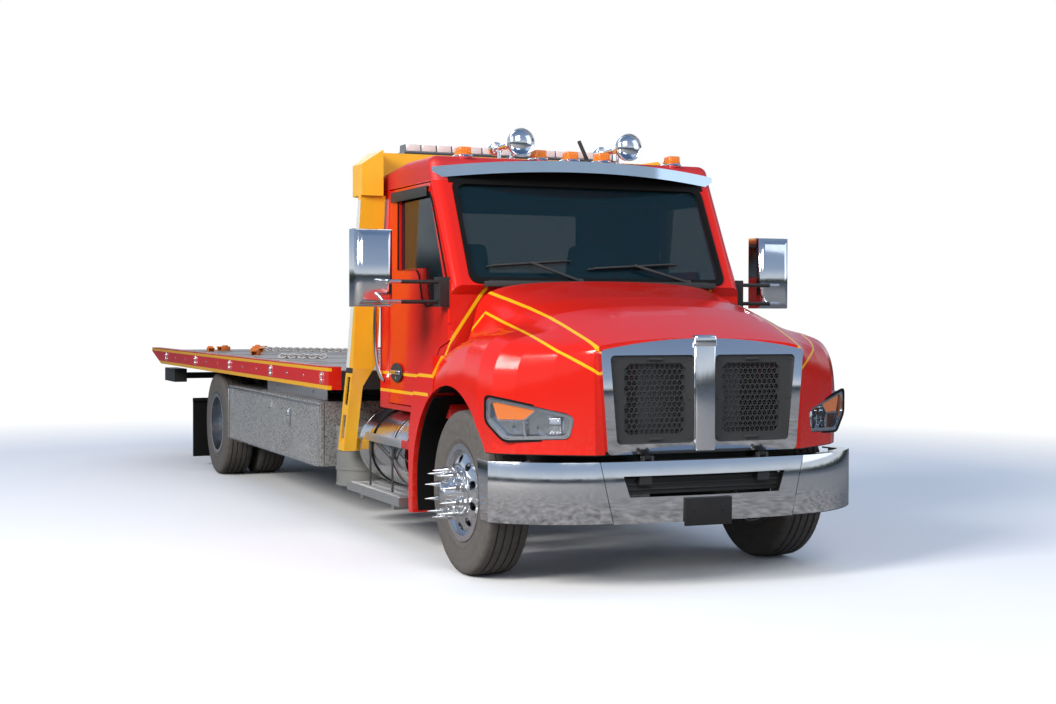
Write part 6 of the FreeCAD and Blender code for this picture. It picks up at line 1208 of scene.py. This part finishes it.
# %% Toolboxes
LATCH_Y = back(3.835)
for side, sign in SIDES.items():
    lips = merged(
        *[block((1.2235, back(2.925), low), (1.2290, back(6.115), high), 0.002)
          for low, high in ((0.884, 0.9000), (0.405, 0.4170))],
        *[block((1.2235, back(y) - 0.006, 0.418), (1.2285, back(y) + 0.006, 0.883), 0.002)
          for y in (2.935, 6.105)],
    )
    latch = merged(block((1.2235, LATCH_Y - 0.026, 0.676), (1.2310, LATCH_Y + 0.026, 0.812), 0.003),
                   block((1.2300, LATCH_Y - 0.012, 0.690), (1.2400, LATCH_Y + 0.012, 0.798), 0.004))
    for name, part, finish, slot in ((f"toolbox_lip_{side}", lips, "sheet_metal", "polished_alu"),
                                     (f"toolbox_latch_{side}", latch, "chrome", "chrome")):
        keep(name, sided(part, sign), finish, f"toolbox_door_{side}")
skirt = merged(block((1.120, back(3.02), 0.911), (1.128, back(4.95), 1.002), 0.002),
               block((1.118, back(3.02), 0.911), (1.180, back(4.95), 0.917), 0.002),
               *[rod((1.130, back(y), 0.965), 0.016, 0.012, "X", 16, edge=0.003) for y in (3.42, 4.60)])
keep("box_skirts", both(skirt), "alloy", "chassis")
print("toolboxes dressed")

# %% [markdown]
# The bumper's slot shows a black louvre behind it, and hexagon bolts run along the frame rails.

# %% Bumper and frame
louvre = merged(
    block((-0.520, back(-0.936), 0.560), (0.520, back(-0.928), 0.742), 0.002),
    *[block((-0.515, back(-0.948), z), (0.515, back(-0.934), z + 0.010), 0.002)
      for z in (0.585, 0.615, 0.645, 0.675)],
)
keep("bumper_louvre", louvre, "black_plastic", "chassis")
bolts = [rod((0.4575, back(y), z), 0.013, 0.014, "X", 6, edge=0.002)
         for y in (0.55, 1.25, 2.35, 2.70, 3.60, 4.50, 5.40, 6.30, 7.20, 8.10)
         for z in (0.700, 0.900)]
keep("frame_bolts", both(*bolts), "cast_grey", "chassis")
print("bumper and frame dressed")

# %% [markdown]
# The mirrors' glass faces the driver, in a tall pane with a low one above it.

# %% Mirror glass
for side, sign in SIDES.items():
    pane = merged(*[block((1.378, back(0.808), low), (1.592, back(0.813), high), 0.002)
                    for low, high in ((1.672, 1.960), (1.975, 2.110))])
    keep(f"mirror_glass_{side}", sided(pane, sign), "chrome", f"door_{side}")
print("mirrors glazed:", len(SIDES))

# %% [markdown]
# The seats are padded. Each cushion starts as a slightly smaller rounded block, is remeshed, and is blown
# up by cloth pressure with a cap on how far any point moves. Piping follows the lower cushions' front edge.

# %% Seats
VOXEL, SWELL_CAP, LAST_FRAME = 0.010, 0.012, 20


def puffed(mesh):
    """A bmesh swollen by cloth pressure, no point by more than the cap."""
    data = bpy.data.meshes.new("pad_start")
    mesh.to_mesh(data)
    mesh.free()
    pad = bpy.data.objects.new("pad_start", data)
    bpy.context.scene.collection.objects.link(pad)
    remesh = pad.modifiers.new("voxels", "REMESH")
    remesh.mode, remesh.voxel_size = "VOXEL", VOXEL
    cloth_step = pad.modifiers.new("pressure", "CLOTH")
    cloth_step.settings.use_pressure = True
    cloth_step.settings.uniform_pressure_force = 4
    cloth_step.settings.effector_weights.gravity = 0
    scene = bpy.context.scene
    scene.frame_set(1)
    shapes = []
    for frame_number in (1, LAST_FRAME):
        for number in range(scene.frame_current, frame_number + 1):
            scene.frame_set(number)
        seen = pad.evaluated_get(bpy.context.evaluated_depsgraph_get())
        shapes.append(bpy.data.meshes.new_from_object(seen))
    swollen = bmesh.new()
    swollen.from_mesh(shapes[1])
    swollen.verts.ensure_lookup_table()
    for vert, start in zip(swollen.verts, shapes[0].vertices):
        move = vert.co - start.co
        if move.length > SWELL_CAP:
            vert.co = start.co + move.normalized() * SWELL_CAP
    scene.frame_set(1)
    bpy.data.objects.remove(pad)
    return swollen


def seat_form(low, high, taper):
    """A soft-edged block whose far end is narrower, to be blown up."""
    form = block(low, high, 0.045, 4)
    bmesh.ops.subdivide_edges(form, edges=form.edges, cuts=2, use_grid_fill=True)
    low, high = Vector(low), Vector(high)
    for vert in form.verts:
        up = (vert.co.z - low.z) / (high.z - low.z)
        vert.co.x = (low.x + high.x) / 2 + (vert.co.x - (low.x + high.x) / 2) * (1 - taper * up ** 3)
    return form


cushion = puffed(seat_form((0.268, back(1.108), 1.338), (0.732, back(1.582), 1.446), 0.0))
rest = puffed(seat_form((0.268, back(1.604), 1.400), (0.732, back(1.706), 2.112), 0.30))
for name, part, replaced in (
    ("padded_cushions", cushion, "seat_cushions"),
    ("padded_backs", rest, "seat_backs"),
):
    piece = keep(name, both(part), "seat_cloth", "chassis", (replaced,), 60)
edge_line = [(0.30, back(1.104), 1.420), (0.50, back(1.098), 1.424), (0.70, back(1.104), 1.420)]
pipe("cushion_piping", edge_line, 0.004, "black_plastic", "chassis", mirror=True)
print("seats padded")

# %% [markdown]
# The stage is one wide pale floor that fades to white in the distance, and the camera sees a white world
# behind it. Mirrors need something darker to reflect, so every other ray meets grainy ground, a dim line of
# far trees and a sky that deepens upward. A large soft key light on the camera's side shapes the body.


# %% Stage and lights
FLOOR_SIZE, FADE_START, FADE_END = 70, 6.2, 11.0


def stage():
    """The floor: pale with the truck's shadow near by, white farther out, grainy to every other ray."""
    mesh = bmesh.new()
    bmesh.ops.create_grid(mesh, x_segments=8, y_segments=8, size=FLOOR_SIZE)
    data = bpy.data.meshes.new("floor")
    mesh.to_mesh(data)
    mesh.free()
    floor = bpy.data.objects.new("floor", data)
    bpy.context.scene.collection.objects.link(floor)
    pale = Finish("floor_pale")
    far = pale.node("ShaderNodeVectorMath", {"operation": "LENGTH"}, {0: pale.place}, "Value")
    seen = pale.node("ShaderNodeLightPath", {}, {}, "Is Camera Ray")
    fade = pale.step(far, FADE_START, FADE_END)
    grain = pale.step(pale.noise(9, 8, 0.85), 0.38, 0.62)
    under = pale.mix(grain, (0.04, 0.038, 0.035), (0.52, 0.50, 0.48))
    shown = pale.mix(pale.noise(0.4, 2) * 0.3, (0.95, 0.95, 0.95), (0.92, 0.92, 0.925))
    base = pale.mix(seen, under, shown)
    pale.set(Base_Color=pale.mix(fade * seen, base, (0, 0, 0)), Roughness=0.8, Specular_IOR_Level=0.1)
    pale.set(Emission_Color=pale.mix(fade * seen, (0, 0, 0), (1, 1, 1)), Emission_Strength=1.0)
    data.materials.append(pale.material)


def area_light(name, place, target, size, power, tint):
    """A square lamp that looks at a target."""
    data = bpy.data.lights.new(name, "AREA")
    data.shape, data.size, data.energy, data.color = "SQUARE", size, power, tint
    light = bpy.data.objects.new(name, data)
    bpy.context.scene.collection.objects.link(light)
    turn = (Vector(target) - Vector(place)).to_track_quat("-Z", "Y").to_matrix().to_4x4()
    light.matrix_world = Matrix.Translation(place) @ turn


def studio():
    """White for the camera; for reflections a sky over a line of trees."""
    world = bpy.data.worlds.new("studio")
    bpy.context.scene.world = world
    sky = Graph(world)
    way = sky.node("ShaderNodeTexCoord", {}, {}, "Generated")
    up = sky.node("ShaderNodeSeparateXYZ", {}, {0: way}, "Z")
    height = sky.node("ShaderNodeMapRange", {}, {"Value": up, "From Min": -1})
    noise = sky.node("ShaderNodeTexNoise", {}, {"Vector": way, "Scale": 26}, "Fac")
    ragged = sky.node("ShaderNodeMath", {"operation": "MULTIPLY_ADD"}, {0: noise, 1: 0.035, 2: height})
    ramp = sky.node("ShaderNodeValToRGB", {}, {"Fac": ragged}, "Color")
    elements = ramp.socket.node.color_ramp.elements
    stops = ((0.49, (0.16, 0.155, 0.15)), (0.510, (0.030, 0.036, 0.034)), (0.535, (0.035, 0.045, 0.045)),
             (0.550, (0.70, 0.76, 0.82)), (0.64, (0.32, 0.42, 0.58)), (1.0, (0.14, 0.22, 0.38)))
    while len(elements) < len(stops):
        elements.new(0.5)
    for stop, (at, colour) in zip(elements, stops):
        stop.position, stop.color = at, (*colour, 1)
    seen = sky.node("ShaderNodeLightPath", {}, {}, "Is Camera Ray")
    shown = sky.mix(seen, ramp, (1, 1, 1))
    sky.tree.links.new(shown.socket, sky.tree.nodes["Background"].inputs["Color"])


stage()
for light in (
    ("key", (-15, -10, 9.5), (0, -1, 1), 6, 3500, (1.0, 0.96, 0.90)),
    ("front", (-3, -18, 10), (0, -4, 1), 7, 1000, (1.0, 0.98, 0.95)),
    ("fill", (10, -8, 6), (0, -3, 1), 8, 200, (0.85, 0.92, 1.0)),
    ("back_rim", (4, 14, 9), (0, 2, 1), 9, 450, (1, 1, 1)),
):
    area_light(*light)
studio()
bpy.context.scene.view_settings.view_transform = "Standard"
print("stage and lights ready")
